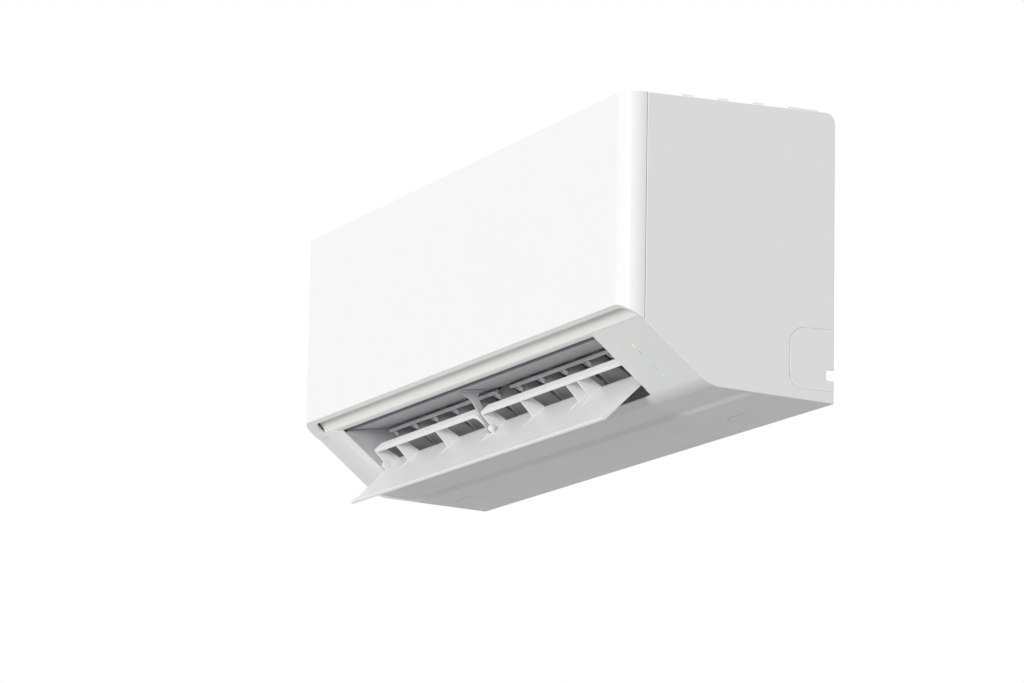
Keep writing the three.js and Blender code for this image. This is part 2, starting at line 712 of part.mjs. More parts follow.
function frontPanel() {
  const low = slopeTopHeight - 10;
  const shell = ring(0, panelWall, low, bodyTop);
  const slab = acrossX([
    [seamDepth - 5, lipPlane(seamDepth - 5) - 2],
    [unitDepth + 5, lipPlane(unitDepth + 5) - 2],
    [unitDepth + 5, lipPlane(unitDepth + 5) + lipWall],
    [seamDepth - 5, lipPlane(seamDepth - 5) + lipWall],
  ], -halfWidth - 5, halfWidth + 5);
  const lipPlate = common(upright(planInset(0, seamDepth), low, lipHeight + 2 * lipWall), slab);
  const lip = cut(lipPlate, upright(lipMouth(0, seamDepth - 5), low - 1, lipHeight + 3 * lipWall));
  const below = acrossX([
    [seamDepth - 5, lipPlane(seamDepth - 5)],
    [seamDepth - 5, 0],
    [unitDepth + 5, 0],
    [unitDepth + 5, lipPlane(unitDepth + 5)],
  ], -halfWidth - 5, halfWidth + 5);
  const ears = [-1, 1].flatMap((side) => {
    const x = side * panelEarX;
    const pinEnd = side * (panelEarX + 9);
    return [
      block(x - 2, x + 2, panelHingeDepth, unitDepth - panelWall + 1, panelHingeHeight - hingeEyeRadius, bodyTop),
      rodX(hingeEyeRadius, x - 2, x + 2, panelHingeDepth, panelHingeHeight, 16),
      rodX(panelPinRadius, Math.min(x, pinEnd), Math.max(x, pinEnd), panelHingeDepth, panelHingeHeight, 12),
    ];
  });
  addPart(unit, 'front_panel', join(cut(join(shell, lip), below), ...ears), looks.frontWhite);
}

// ---------------------------------------------------------------- inner front frame and filters
const innerFrameFront = innerFrameDepth + innerFrameWall;
const innerHalf = halfWidth - panelWall - 2 * fit;
const filterTop = unitHeight - filterDrop;
const buttonX = halfWidth - buttonInset;
const filterDepth = innerFrameFront + fit;
const filterGap = 4;
const railHalf = 5;
const railTop = filterTop - 7;
const filterSpans = [
  [coilLeft, outletCentre - filterGap / 2],
  [outletCentre + filterGap / 2, coilRight],
];
const screwLevels = [115, bodyTop - 12.5];
const screwX = halfWidth - 14;
const screwTip = seamDepth - 14;
const screwPlaces = [-screwX, screwX].flatMap((x) => screwLevels.map((height) => [x, height]));

function innerFrame() {
  const bottom = filterBottom - 8;
  const sheet = block(-innerHalf, innerHalf, innerFrameDepth, innerFrameFront, bottom, bodyTop);
  const windows = filterSpans.map(([left, right]) =>
    block(left + 10, right - 10, innerFrameDepth - 1, innerFrameFront + 1, filterBottom + 8, filterTop - 8));
  const lipDepth = filterDepth + filterWall + fit;
  const rails = [
    [coilLeft - railHalf, coilLeft + railHalf, coilLeft - railHalf, coilLeft],
    [outletCentre - railHalf, outletCentre + railHalf, outletCentre - filterGap / 2, outletCentre + filterGap / 2],
    [coilRight - railHalf, coilRight + railHalf, coilRight, coilRight + railHalf],
  ].flatMap(([left, right, stemLeft, stemRight]) => [
    block(left, right, lipDepth, lipDepth + 1.6, filterBottom, railTop),
    block(stemLeft, stemRight, innerFrameFront - 1, lipDepth + 1, filterBottom, railTop),
  ]);
  const stops = filterSpans.map(([left, right]) =>
    block(left + 20, right - 20, innerFrameFront - 1, filterDepth + filterWall, filterBottom - 1.8,
      filterBottom - fit));
  const arms = [-1, 1].flatMap((side) => {
    const from = side * (panelEarX + 3);
    const to = side * (panelEarX + 7);
    const [low, high] = [Math.min(from, to), Math.max(from, to)];
    return [
      block(low, high, innerFrameFront - 1, panelHingeDepth, panelHingeHeight - 4, panelHingeHeight + 4),
      rodX(4, low, high, panelHingeDepth, panelHingeHeight, 16),
    ];
  });
  const pinHole = rodX(panelPinRadius + running, -coreHalf, coreHalf, panelHingeDepth, panelHingeHeight, 12);
  const buttonHole = rodY(buttonRadius + running, innerFrameDepth - 1, innerFrameFront + 1, buttonX,
    buttonHeight, 16);
  const screwHoles = screwPlaces.map(([x, height]) =>
    rodY(2.1, innerFrameDepth - 1, innerFrameFront + 1, x, height, 10));
  addPart(unit, 'inner_front_frame',
    cut(join(cut(sheet, ...windows), ...rails, ...stops, ...arms), pinHole, buttonHole, ...screwHoles),
    looks.caseWhite);
}

function filter(name, left, right) {
  const front = filterDepth + filterWall;
  const sheet = block(left, right, filterDepth, front, filterBottom, filterTop);
  const [columns, rows, edge] = [5, 4, 8];
  const pitchX = (right - left - 2 * edge + filterBar) / columns;
  const pitchZ = (filterTop - filterBottom - 2 * edge + filterBar) / rows;
  const windows = spread(columns, left + edge, pitchX).flatMap((x) =>
    spread(rows, filterBottom + edge, pitchZ).map((z) =>
      block(x, x + pitchX - filterBar, filterDepth - 1, front + 1, z, z + pitchZ - filterBar)));
  const tab = block((left + right) / 2 - 20, (left + right) / 2 + 20, filterDepth, front + 3, filterTop - 6,
    filterTop);
  addPart(unit, name, cut(join(sheet, tab), ...windows), looks.filterMesh);
}

function autoButton() {
  const cap = rodY(buttonRadius, innerFrameDepth - 2, innerFrameFront + 1.6, buttonX, buttonHeight, 16);
  const collar = rodY(buttonRadius + 2.4, innerFrameDepth - 2, innerFrameDepth - fit, buttonX, buttonHeight, 16);
  addPart(unit, 'auto_button', join(cap, collar), looks.frontWhite);
}

function coverScrews() {
  screwPlaces.forEach(([x, height], index) => {
    const shank = rodY(1.7, screwTip, innerFrameFront + 1, x, height, 8);
    const head = rodY(3.6, innerFrameFront + fit, innerFrameFront + 2.2, x, height, 12);
    addPart(unit, `cover_screw_${index + 1}`, join(shank, head), looks.galvanised);
  });
}

// ---------------------------------------------------------------- drain pan, whose underside is the duct's roof
const tongue = aroundFan(fanRadius + tongueGap, tongueAngle);
const roofEnd = duct(roofTip, roofInset);
const panWall = 2.5;
const panLeft = ductOuterLeft - 14;
const panRight = ductOuterRight + 14;
const panTop = 98;
const panFront = innerFrameDepth - fit;

// Height of the pan's sloping floor, from its rear wall down to its trough behind the front wall.
function panFloor(depth) {
  const [backDepth, backHeight] = [tongue[0] + 6, tongue[1] + 4];
  const [frontDepth, frontHeight] = [panFront - panWall, roofEnd[1] + 9];
  return backHeight + ((frontHeight - backHeight) * (depth - backDepth)) / (frontDepth - backDepth);
}

function drainPan() {
  const tray = [
    tongue,
    duct(...roofKnee),
    roofEnd,
    [panFront - panWall, roofEnd[1] + 4],
    [panFront, roofEnd[1] + 6],
    [panFront, panTop],
    [panFront - panWall, panTop],
    [panFront - panWall, panFloor(panFront - panWall)],
    [tongue[0] + 6, panFloor(tongue[0] + 6)],
    [tongue[0] + 5, tongue[1] + 9, 1],
    [tongue[0] + 2, tongue[1] + 9, 1],
  ];
  const cap = [tongue, duct(...roofKnee), roofEnd, [panFront, roofEnd[1] + 6], [panFront, panTop - 4], [tongue[0] + 5, tongue[1] + 9]];
  const body = join(
    acrossX(tray, panLeft, panRight),
    acrossX(cap, panLeft, panLeft + panWall),
    acrossX(cap, panRight - panWall, panRight),
    rodX(9, panLeft - 24, panLeft + 1, panFront - 16, panTop - 13, 20),
  );
  const bore = rodX(7, panLeft - 25, panLeft + panWall + 1, panFront - 16, panTop - 13, 20);
  addPart(unit, 'drain_pan', cut(body, bore), looks.ductGrey);
}

// ---------------------------------------------------------------- heat exchanger
const coilDepth = seamDepth - coilSetback;
const coilFoot = panFloor(coilDepth - coilThickness / 2) + coilPanGap;
const coilRuns = {
  coil_front_lower: [[coilDepth, coilFoot], [coilDepth, 189]],
  coil_front_upper: [[coilDepth - 4, 200], [fanDepth + 18, 272]],
  coil_rear: [[fanDepth - 62, 190], [fanDepth - 4, 259]],
};

function slabOutline([low, high], extra, grow) {
  const from = new THREE.Vector2(...low);
  const direction = new THREE.Vector2(...high).sub(from).normalize();
  const length = new THREE.Vector2(...high).sub(from).length();
  const across = new THREE.Vector2(-direction.y, direction.x).multiplyScalar(coilThickness / 2 + grow);
  const place = (along, side) => {
    const point = from.clone().addScaledVector(direction, along).addScaledVector(across, side);
    return [point.x, point.y];
  };
  return [place(-extra, -1), place(length + extra, -1), place(length + extra, 1), place(-extra, 1)];
}

// Places of the return bends along one run, as [lower pipe, upper pipe].
function bendPlaces([low, high]) {
  const from = new THREE.Vector2(...low);
  const run = new THREE.Vector2(...high).sub(from);
  const count = Math.floor(run.length() / (2 * bendSpan));
  const direction = run.clone().normalize();
  const first = (run.length() - (2 * count - 1) * bendSpan) / 2;
  return spread(count, first, 2 * bendSpan).map((along) => [
    from.clone().addScaledVector(direction, along),
    from.clone().addScaledVector(direction, along + bendSpan),
  ]);
}

function tube(points, radius, sides, steps) {
  const circle = new THREE.Shape(spread(sides, 0, (2 * Math.PI) / sides).map((angle) =>
    new THREE.Vector2(radius * Math.cos(angle), radius * Math.sin(angle))));
  return new THREE.ExtrudeGeometry(circle, {
    steps,
    bevelEnabled: false,
    extrudePath: new THREE.CatmullRomCurve3(points, false, 'centripetal'),
  });
}

function returnBend([low, high], face, side) {
  const middle = low.clone().add(high).multiplyScalar(0.5);
  const half = high.clone().sub(middle);
  const points = spread(7, -90, 30).map((degrees) => {
    const reach = side * (bendSpan / 2) * Math.cos(radians(degrees));
    const point = middle.clone().addScaledVector(half, Math.sin(radians(degrees)));
    return new THREE.Vector3(face + reach, -point.x, point.y);
  });
  points[0].x -= side * tubeSheetWall / 2;
  points[6].x -= side * tubeSheetWall / 2;
  return tube(points, tubeRadius, 6, 6);
}

function heatExchanger() {
  Object.entries(coilRuns).forEach(([name, run]) => {
    addPart(unit, name, acrossX(slabOutline(run, 0, 0), coilLeft, coilRight), looks.fins);
  });
  const sheets = { tube_sheet_left: [coilLeft - fit, -1], tube_sheet_right: [coilRight + fit, 1] };
  Object.entries(sheets).forEach(([name, [inner, side]]) => {
    const outer = inner + side * tubeSheetWall;
    const [from, to] = [Math.min(inner, outer), Math.max(inner, outer)];
    const runs = Object.values(coilRuns);
    const plates = runs.map((run) => acrossX(slabOutline(run, 1.2, 0.6), from, to));
    const knee = acrossX([[coilDepth - 12.5, 184], [coilDepth + 11.5, 184], [coilDepth + 11.5, 198],
      [coilDepth - 0.5, 210], [coilDepth - 16.5, 196]], from, to);
    const apex = acrossX([[fanDepth - 12, 236], [fanDepth + 22, 236], [fanDepth + 30, 262], [fanDepth + 16, 279],
      [fanDepth - 8, 268]], from, to);
    const bends = runs.flatMap(bendPlaces).map((place) => returnBend(place, outer, side));
    addPart(unit, name, join(...plates, knee, apex, ...bends), looks.copper);
  });
}

// ---------------------------------------------------------------- refrigerant pipes
const pipeEndHeight = 46;
const pipeRuns = {
  liquid: { radius: 3.2, x: coilRight + 24, joint: [fanDepth - 56, 213], nut: 8 },
  gas: { radius: 4.8, x: coilRight + 46, joint: [fanDepth - 46, 232], nut: 11 },
};
const pipeRunDepth = 30;
const clampHeight = 110;

function refrigerantPipes() {
  const start = coilRight + fit + tubeSheetWall + 0.7;
  Object.entries(pipeRuns).forEach(([name, { radius, x, joint: [depth, height], nut }]) => {
    const route = [
      new THREE.Vector3(start, -depth, height),
      new THREE.Vector3(x - 14, -depth, height - 1),
      new THREE.Vector3(x - 2, -(depth + pipeRunDepth) / 2, height - 14),
      new THREE.Vector3(x, -pipeRunDepth, height - 40),
      new THREE.Vector3(x, -pipeRunDepth, 140),
      new THREE.Vector3(x, -pipeRunDepth, 90),
      new THREE.Vector3(x, -pipeRunDepth, pipeEndHeight),
    ];
    addPart(unit, `${name}_pipe`, tube(route, radius, 8, 22), looks.copper);
    const collar = new THREE.CylinderGeometry(nut, nut, 18, 6).rotateX(Math.PI / 2);
    const bore = new THREE.CylinderGeometry(radius + fit, radius + fit, 30, 12).rotateX(Math.PI / 2);
    [collar, bore].forEach((shape) => shape.translate(x, -pipeRunDepth, pipeEndHeight + 4));
    addPart(unit, `${name}_flare_nut`, cut(collar, bore), looks.brass);
  });
  const { liquid, gas } = pipeRuns;
  const bar = block(liquid.x - 8, gas.x + 9, backSheetDepth + backSheetWall + fit, pipeRunDepth + 3, clampHeight,
    clampHeight + 12);
  const grooves = [liquid, gas].map(({ radius, x }) =>
    new THREE.CylinderGeometry(radius + fit, radius + fit, 40, 16).rotateX(Math.PI / 2)
      .translate(x, -pipeRunDepth, clampHeight));
  addPart(unit, 'pipe_clamp', cut(bar, ...grooves), looks.darkPlastic);
}

// ---------------------------------------------------------------- cross-flow fan and its motor
const fanLeft = outletLeft + fanEndGap;
const fanRight = outletRight - fanEndGap;
const hubRadius = 7.5;
const motorLeft = ductOuterRight + 4;
const motorLength = 54;
const motorRadius = 38;
const bracketTop = fanHeight + motorRadius + 8;

function fan() {
  const blade = (degrees) => {
    const [inner, outer] = [fanInnerRadius, fanRadius - fit];
    const at = (radius, turn) => aroundFan(radius, degrees + turn);
    return acrossX([at(inner, 0), at(outer, 12), at(outer, 15), at(inner, 3)], fanLeft + 1, fanRight - 1);
  };
  const blades = spread(fanBlades, 0, 360 / fanBlades).map(blade);
  const disc = (x, hole) =>
    cut(rodX(fanRadius, x, x + fanDisc, fanDepth, fanHeight, 24),
      rodX(hole, x - 1, x + fanDisc + 1, fanDepth, fanHeight, 20));
  const pitch = (fanRight - fanLeft - fanDisc) / (fanRings + 1);
  const rings = spread(fanRings, fanLeft + pitch, pitch).map((x) => disc(x, fanInnerRadius - 1));
  const leftEnd = rodX(fanRadius, fanLeft, fanLeft + fanDisc, fanDepth, fanHeight, 24);
  const stub = rodX(shaftRadius, fanLeft - fanEndGap - ductWall, fanLeft + 1, fanDepth, fanHeight, 16);
  const rightEnd = disc(fanRight - fanDisc, hubRadius + fit);
  addPart(unit, 'cross_flow_fan', join(...blades, ...rings, leftEnd, stub, rightEnd), looks.fanGrey);

  const bush = cut(
    join(rodX(hubRadius, fanRight - fanDisc - 2, fanRight + 2, fanDepth, fanHeight, 24),
      rodX(hubRadius + 4, fanRight - fanDisc - 3, fanRight - fanDisc - fit, fanDepth, fanHeight, 24)),
    rodX(shaftRadius + fit, fanRight - 20, fanRight + 5, fanDepth, fanHeight, 16),
  );
  addPart(unit, 'fan_bush', bush, looks.darkPlastic);
  addPart(unit, 'motor_shaft', rodX(shaftRadius, fanRight - fanDisc - 6, motorLeft + 20, fanDepth, fanHeight, 16),
    looks.motorSteel);
}

function fanBearing() {
  const sleeve = rodX(bearingRadius, ductOuterLeft - 4, fanLeft - 1.4, fanDepth, fanHeight, 24);
  const flange = rodX(bearingRadius + 4, ductOuterLeft - 4, ductOuterLeft - fit, fanDepth, fanHeight, 24);
  const bore = rodX(shaftRadius + running, ductOuterLeft - 6, fanLeft, fanDepth, fanHeight, 16);
  addPart(unit, 'fan_bearing', cut(join(sleeve, flange), bore), looks.darkPlastic);
}

function fanMotor() {
  const profile = [[0, 0], [13, 0], [13, 5], [motorRadius - 3, 5], [motorRadius, 8],
    [motorRadius, motorLength - 4], [motorRadius - 4, motorLength], [0, motorLength]];
  const housing = new THREE.LatheGeometry(profile.map(([radius, x]) => new THREE.Vector2(radius, x)), 32)
    .rotateZ(-Math.PI / 2).translate(motorLeft, -fanDepth, fanHeight);
  const bore = rodX(shaftRadius + running, motorLeft - 1, motorLeft + 22, fanDepth, fanHeight, 16);
  addPart(unit, 'fan_motor', cut(housing, bore), looks.motorSteel);
  const middle = motorLeft + motorLength / 2;
  const saddleOutline = [
    [fanDepth - motorRadius - 8, underside(stepDepth) + skin + fit],
    [stepDepth - 2, underside(stepDepth) + skin + fit],
    [stepDepth + stepRun, underside(stepDepth + stepRun) + bottomStep + skin + 2],
    [slopeFootDepth - 10, 22],
    [fanDepth + motorRadius + 8, fanHeight - 30],
    [fanDepth + motorRadius + 8, bracketTop],
    [fanDepth - motorRadius - 8, bracketTop],
  ];
  const saddle = cut(
    acrossX(saddleOutline, middle - 5, middle + 5),
    rodX(motorRadius + fit, middle - 8, middle + 8, fanDepth, fanHeight, 32),
  );
  addPart(unit, 'motor_bracket', saddle, looks.galvanised);
}

// ---------------------------------------------------------------- control box
const boxLeft = coilRight + 34;
const boxRight = coreHalf - skin - 2;
const boxBack = fanDepth - 20;
const boxFront = seamDepth - 9;
const boxBottom = bracketTop + fit;
const boxTop = screwLevels.at(-1) - 9; // below the upper cover screw
const boxWall = 2;

function controlBox() {
  const shell = cut(
    block(boxLeft, boxRight, boxBack, boxFront, boxBottom, boxTop),
    block(boxLeft + boxWall, boxRight - boxWall, boxBack + boxWall, boxFront + 1, boxBottom + boxWall,
      boxTop - boxWall),
  );
  const posts = [[boxLeft + 8, boxBottom + 8], [boxRight - 8, boxTop - 8]].map(([x, height]) =>
    rodY(3, boxBack + 1, boxBack + 14, x, height, 10));
  addPart(unit, 'control_box', join(shell, ...posts), looks.caseWhite);
  const lid = block(boxLeft, boxRight, boxFront + fit, boxFront + fit + boxWall, boxBottom, boxTop);
  const rim = block(boxLeft + boxWall + fit, boxRight - boxWall - fit, boxFront - 5, boxFront + 1,
    boxBottom + boxWall + fit, boxTop - boxWall - fit);
  const hollow = block(boxLeft + 2 * boxWall, boxRight - 2 * boxWall, boxFront - 6, boxFront + fit / 2,
    boxBottom + 2 * boxWall, boxTop - 2 * boxWall);
  addPart(unit, 'control_box_cover', cut(join(lid, rim), hollow), looks.caseWhite);
  const boardBack = boxBack + 14 + fit;
  const parts = [
    block(boxLeft + 14, boxLeft + 34, boardBack, boardBack + 22, boxBottom + 20, boxBottom + 48),
    block(boxRight - 30, boxRight - 12, boardBack, boardBack + 16, boxBottom + 16, boxBottom + 36),
    rodY(9, boardBack, boardBack + 28, boxLeft + 46, boxBottom + 66, 16),
    rodY(6, boardBack, boardBack + 20, boxLeft + 20, boxBottom + 74, 16),
  ];
  addPart(unit, 'circuit_board', join(
    block(boxLeft + 4, boxRight - 4, boardBack, boardBack + 1.6, boxBottom + 4, boxTop - 4), ...parts),
    looks.board);
  const strip = block(boxRight - 62, boxRight - 6, boxBack - 22, boxBack - fit, boxBottom + 2, boxBottom + 24);
  const screws = spread(4, boxRight - 55, 14).map((x) =>
    new THREE.CylinderGeometry(3.2, 3.2, 4, 10).rotateX(Math.PI / 2)
      .translate(x, -(boxBack - 12), boxBottom + 25));
  addPart(unit, 'terminal_block', join(strip, ...screws), looks.darkPlastic);
}

// ---------------------------------------------------------------- flap
const flapLeft = outletLeft + flapSideGap;
const flapRight = outletRight - flapSideGap;
const flapCentreX = outletCentre - flapArmOffset;
const flapRibPlaces = [
  flapLeft + flapFirstRib,
  ...flapArmRibs.map((offset) => flapCentreX + offset),
  ...flapLastRibs.map((offset) => flapRight - offset),
];
const flapFrame = new THREE.Group();
flapFrame.position.set(0, -flapPivot[0], flapPivot[1]);
flapFrame.rotation.x = radians(flapOpening) - slopeAngle;
unit.add(flapFrame);

// In the flap's own frame depth runs forward along the blade and height runs into the casing.
function flap() {
  const outerFace = -flapPivotInset;
  const innerFace = outerFace + flapWall;
  const blade = acrossX([
    [-flapRear, outerFace, 0.8],
    [flapFront, outerFace, 0.9],
    [flapFront, innerFace - 0.2, 0.9],
    [-flapRear, innerFace, 0.8],
  ], flapLeft, flapRight);
  const top = flapBarInset + flapBarWall;
  const foot = innerFace - 1;
  const halves = [
    [flapLeft, flapCentreX - flapCentreGap / 2, 3, 13],
    [flapCentreX + flapCentreGap / 2, flapRight, 5, 10],
  ];
  const bars = halves.map(([left, right, leftRadius, rightRadius]) =>
    facingRoom([
      [left, foot],
      [left, top, leftRadius],
      [right, top, rightRadius],
      [right, foot],
      [right - flapLegWall, foot],
      [right - flapLegWall, flapBarInset, Math.max(rightRadius - flapBarWall, 1)],
      [left + flapLegWall, flapBarInset, Math.max(leftRadius - flapBarWall, 1)],
      [left + flapLegWall, foot],
    ], flapBarFront - flapBarDepth, flapBarFront));
  const ribOutline = [
    [-flapRear + 1, foot],
    [flapBarFront + flapRibToe, foot],
    [flapBarFront, innerFace + flapRibToe, 4],
    [flapBarFront, flapBarInset + 1],
    [flapBarFront - flapBarDepth + 1, flapBarInset + 1],
  ];
  const ribPlaces = [
    ...flapRibPlaces,
    flapLeft + flapRibWall / 2,
    flapCentreX - flapCentreGap / 2 - flapRibWall / 2,
    flapCentreX + flapCentreGap / 2 + flapRibWall / 2,
    flapRight - flapRibWall / 2,
  ];
  const ribs = ribPlaces.map((x) => acrossX(ribOutline, x - flapRibWall / 2, x + flapRibWall / 2));
  const eyes = [
    [flapLeft, flapLeft + 3],
    [flapRight - 3, flapRight],
    [flapCentreX + flapCentreGap / 2, flapCentreX + flapCentreGap / 2 + 3],
  ].map(([from, to]) => rodX(flapPinRadius + 2, from, to, 0, 0, 16));
  const pins = [
    [flapLeft - flapSideGap - ductWall, flapLeft + 1],
    [flapRight - 1, flapRight + flapSideGap + ductWall + 8],
    [flapCentreX - supportArmWall / 2 - 1, flapCentreX + flapCentreGap / 2 + 1],
  ].map(([from, to]) => rodX(flapPinRadius, from, to, 0, 0, 12));
  addPart(flapFrame, 'flap', join(blade, ...bars, ...ribs, ...eyes, ...pins), looks.flapWhite);
}

const supportRootInset = 24;

function flapSupportArm() {
  const [from, to] = [flapCentreX - supportArmWall / 2, flapCentreX + supportArmWall / 2];
  const roofAlong = (inward) => {
    const share = (inward - roofInset) / (roofKnee[1] - roofInset);
    return roofTip + (roofKnee[0] - roofTip) * share - fit;
  };
  const root = roofAlong(supportRootInset);
  const arm = acrossX([
    duct(flapPivotAlong + 1, flapPivotInset - 2.6),
    duct(root - 8, supportRootInset - 8),
    duct(roofAlong(supportRootInset - 10), supportRootInset - 10),
    duct(roofAlong(supportRootInset + 8), supportRootInset + 8),
    duct(root - 10, supportRootInset),
    duct(flapPivotAlong - 1, flapPivotInset + 3.2),
  ], from, to);
  const foot = acrossX([
    duct(roofAlong(supportRootInset - 9), supportRootInset - 9),
    duct(roofAlong(supportRootInset + 8), supportRootInset + 8),
    duct(roofAlong(supportRootInset + 8) - 2, supportRootInset + 8),
    duct(roofAlong(supportRootInset - 9) - 2, supportRootInset - 9),
  ], from - 6, to + 6);
  const eye = rodX(flapPinRadius + 2, from, to, ...flapPivot, 16);
  const bore = rodX(flapPinRadius + running, from - 1, to + 1, ...flapPivot, 12);
  addPart(unit, 'flap_support_arm', cut(join(arm, foot, eye), bore), looks.ductGrey);
}

// ---------------------------------------------------------------- stepper motors
const stepperRadius = 12;
const stepperOffset = 8; // the shaft stands off the body's centre
const stepperLength = 16;

function flapMotor() {
  const left = ductOuterRight + fit;
  const centre = duct(flapPivotAlong, flapPivotInset + stepperOffset);
  const body = join(
    rodX(stepperRadius - 0.6, left, left + stepperLength, ...centre, 24),
    block(left, left + 1.4, centre[0] - 6, centre[0] + 6, centre[1] - 6, centre[1] + 18),
  );
  const bore = rodX(flapPinRadius + running, left - 1, left + 11, ...flapPivot, 12);
  addPart(unit, 'flap_motor', cut(body, bore), looks.motorSteel);
}

function vaneMotor(name, x) {
  const top = floorAlong - ductWall - fit;
  const body = join(
    rodY(stepperRadius, top - stepperLength, top, x, vanePivotInset + stepperOffset, 24),
    block(x - 10, x + 10, top - 1.4, top, vanePivotInset - 3, vanePivotInset + 19),
  );
  const bore = rodY(vanePinRadius + running, top - 9, top + 1, x, vanePivotInset, 12);
  addPart(unit, name, intoDuct(geometryOf(cut(body, bore))), looks.motorSteel);
}

// ---------------------------------------------------------------- louvre vanes and their link bars
unit.add(ductFrame);
const vaneFoot = floorAlong + 1.2;
const vaneTop = vaneFoot + vaneLength;
const linkInset = vanePivotInset - linkArm;

function vane(index) {
  const isDriver = driverVanes.includes(index);
  const blade = acrossX([
    [vaneFoot, vanePivotInset + vaneUpstream, 3],
    [vaneTop, vanePivotInset + vaneUpstream - 5, 4],
    [vaneTop, vanePivotInset - vaneDownstream, 3],
    [vaneFoot, vanePivotInset - vaneDownstream + 4, 5],
  ], -vaneWall / 2, vaneWall / 2);
  const pinReach = isDriver ? ductWall + 8 : ductWall + 0.4;
  const pivot = rodY(vanePinRadius, floorAlong - pinReach, vaneFoot + 6, 0, vanePivotInset, 8);
  const link = rodY(linkPinRadius, vaneTop - 4, vaneTop + fit + linkWall + 0.6, 0, linkInset, 6);
  const mesh = addPart(ductFrame, `vane_${index + 1}`, join(blade, pivot, link), looks.vaneGrey);
  mesh.position.x = vanePlaces[index];
}

function linkBar(name, places) {
  const bottom = vaneTop + fit;
  const top = bottom + linkWall;
  const start = Math.max(places[0] - linkTab - 3, outletLeft + linkEndRoom);
  const bar = block(start, places.at(-1) + 5, bottom, top, linkInset - linkWidth / 2, linkInset + linkWidth / 2);
  const tabs = places.filter((x) => x - linkTab - 2 > start).map((x) =>
    block(x - linkTab - 1.6, x - linkTab, bottom - 9, top, linkInset - linkWidth / 2, linkInset + linkWidth / 2));
  const holes = places.map((x) => rodY(linkPinRadius + running, bottom - 1, top + 1, x, linkInset, 6));
  addPart(ductFrame, name, cut(join(bar, ...tabs), ...holes), looks.vaneGrey);
}

// ---------------------------------------------------------------- assembly
sidePanel('side_panel_right', coreHalf + fit, halfWidth);
sidePanel('side_panel_left', -coreHalf - fit, -halfWidth);
wallPlate();
rearChassis();
topGrille();
lowerFrame();
outletFittings();
cove();
frontPanel();
innerFrame();
filterSpans.forEach(([left, right], i) => filter(`filter_${['left', 'right'][i]}`, left + fit, right - fit));
autoButton();
coverScrews();
drainPan();
heatExchanger();
refrigerantPipes();
fan();
fanBearing();
fanMotor();
controlBox();
flap();
flapSupportArm();
flapMotor();
vanePlaces.forEach((_, index) => vane(index));
linkBar('link_bar_left', vanePlaces.slice(0, vanesPerGroup));
linkBar('link_bar_right', vanePlaces.slice(vanesPerGroup));
driverVanes.forEach((index, i) => vaneMotor(`vane_motor_${['left', 'right'][i]}`, vanePlaces[index]));

export default unit;
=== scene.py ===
import json
import math

import bmesh
import bpy
from mathutils import Matrix, Vector


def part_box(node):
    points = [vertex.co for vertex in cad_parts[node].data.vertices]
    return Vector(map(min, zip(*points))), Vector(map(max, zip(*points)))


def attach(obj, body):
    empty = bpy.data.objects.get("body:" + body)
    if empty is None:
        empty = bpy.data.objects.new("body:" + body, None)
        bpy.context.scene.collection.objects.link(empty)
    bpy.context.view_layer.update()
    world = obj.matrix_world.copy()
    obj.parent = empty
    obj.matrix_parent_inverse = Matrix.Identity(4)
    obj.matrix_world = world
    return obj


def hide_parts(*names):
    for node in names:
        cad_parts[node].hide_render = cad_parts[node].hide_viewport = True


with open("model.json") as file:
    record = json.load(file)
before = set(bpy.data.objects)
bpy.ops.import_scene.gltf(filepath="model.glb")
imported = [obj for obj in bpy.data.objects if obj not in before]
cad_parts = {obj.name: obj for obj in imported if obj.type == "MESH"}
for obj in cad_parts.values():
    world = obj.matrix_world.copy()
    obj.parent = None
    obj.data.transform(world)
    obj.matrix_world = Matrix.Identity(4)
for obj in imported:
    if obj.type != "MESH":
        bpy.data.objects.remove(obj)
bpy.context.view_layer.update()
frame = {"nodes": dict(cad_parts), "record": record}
scene = bpy.context.scene
scene.view_settings.view_transform = "Standard"
print("stage: frame loaded")

mm = 0.001

# camera, where the photograph was taken from
cameraView = {"place": (4.4789, -2.0874, -0.9058), "azimuth": 66.692, "elevation": -10.101, "roll": 1.001,
              "lens": 164.742, "sensor": 36}
bpy.ops.object.camera_add(location=cameraView["place"])
camera = bpy.context.object
turn = (Matrix.Rotation(math.radians(cameraView["azimuth"]), 4, "Z")
        @ Matrix.Rotation(math.radians(90 - cameraView["elevation"]), 4, "X")
        @ Matrix.Rotation(math.radians(cameraView["roll"]), 4, "Z"))
camera.rotation_euler = turn.to_euler()
camera.data.lens = cameraView["lens"]
camera.data.sensor_width = cameraView["sensor"]
camera.data.clip_end = 60
scene.camera = camera

# studio: a plain level of light, from the front and from above
studio = {"floorHeight": -2.4, "floorSize": 23, "floorPale": 0.93, "floorForLight": 0.4, "ambient": 0.525,
          "key": (0.46, -0.885, 0.04), "keyStrength": 1.84, "keySoftness": 20,
          "topStrength": 1, "topSoftness": 30}


def seenDirectly(tree):  # 1 for what the camera, a reflection or glass sees, 0 for what lights the unit
    nodes, links = tree.nodes, tree.links
    path = nodes.new("ShaderNodeLightPath")
    first = nodes.new("ShaderNodeMath")
    first.operation = "MAXIMUM"
    second = nodes.new("ShaderNodeMath")
    second.operation = "MAXIMUM"
    links.new(path.outputs["Is Camera Ray"], first.inputs[0])
    links.new(path.outputs["Is Glossy Ray"], first.inputs[1])
    links.new(first.outputs[0], second.inputs[0])
    links.new(path.outputs["Is Transmission Ray"], second.inputs[1])
    return second.outputs[0]


def addSun(name, toward, strength, softness):
    bpy.ops.object.light_add(type="SUN", location=(0, 0, 3))
    sun = bpy.context.object
    sun.name = name
    sun.rotation_euler = Vector(toward).to_track_quat("Z", "Y").to_euler()
    sun.data.energy = strength
    sun.data.angle = math.radians(softness)


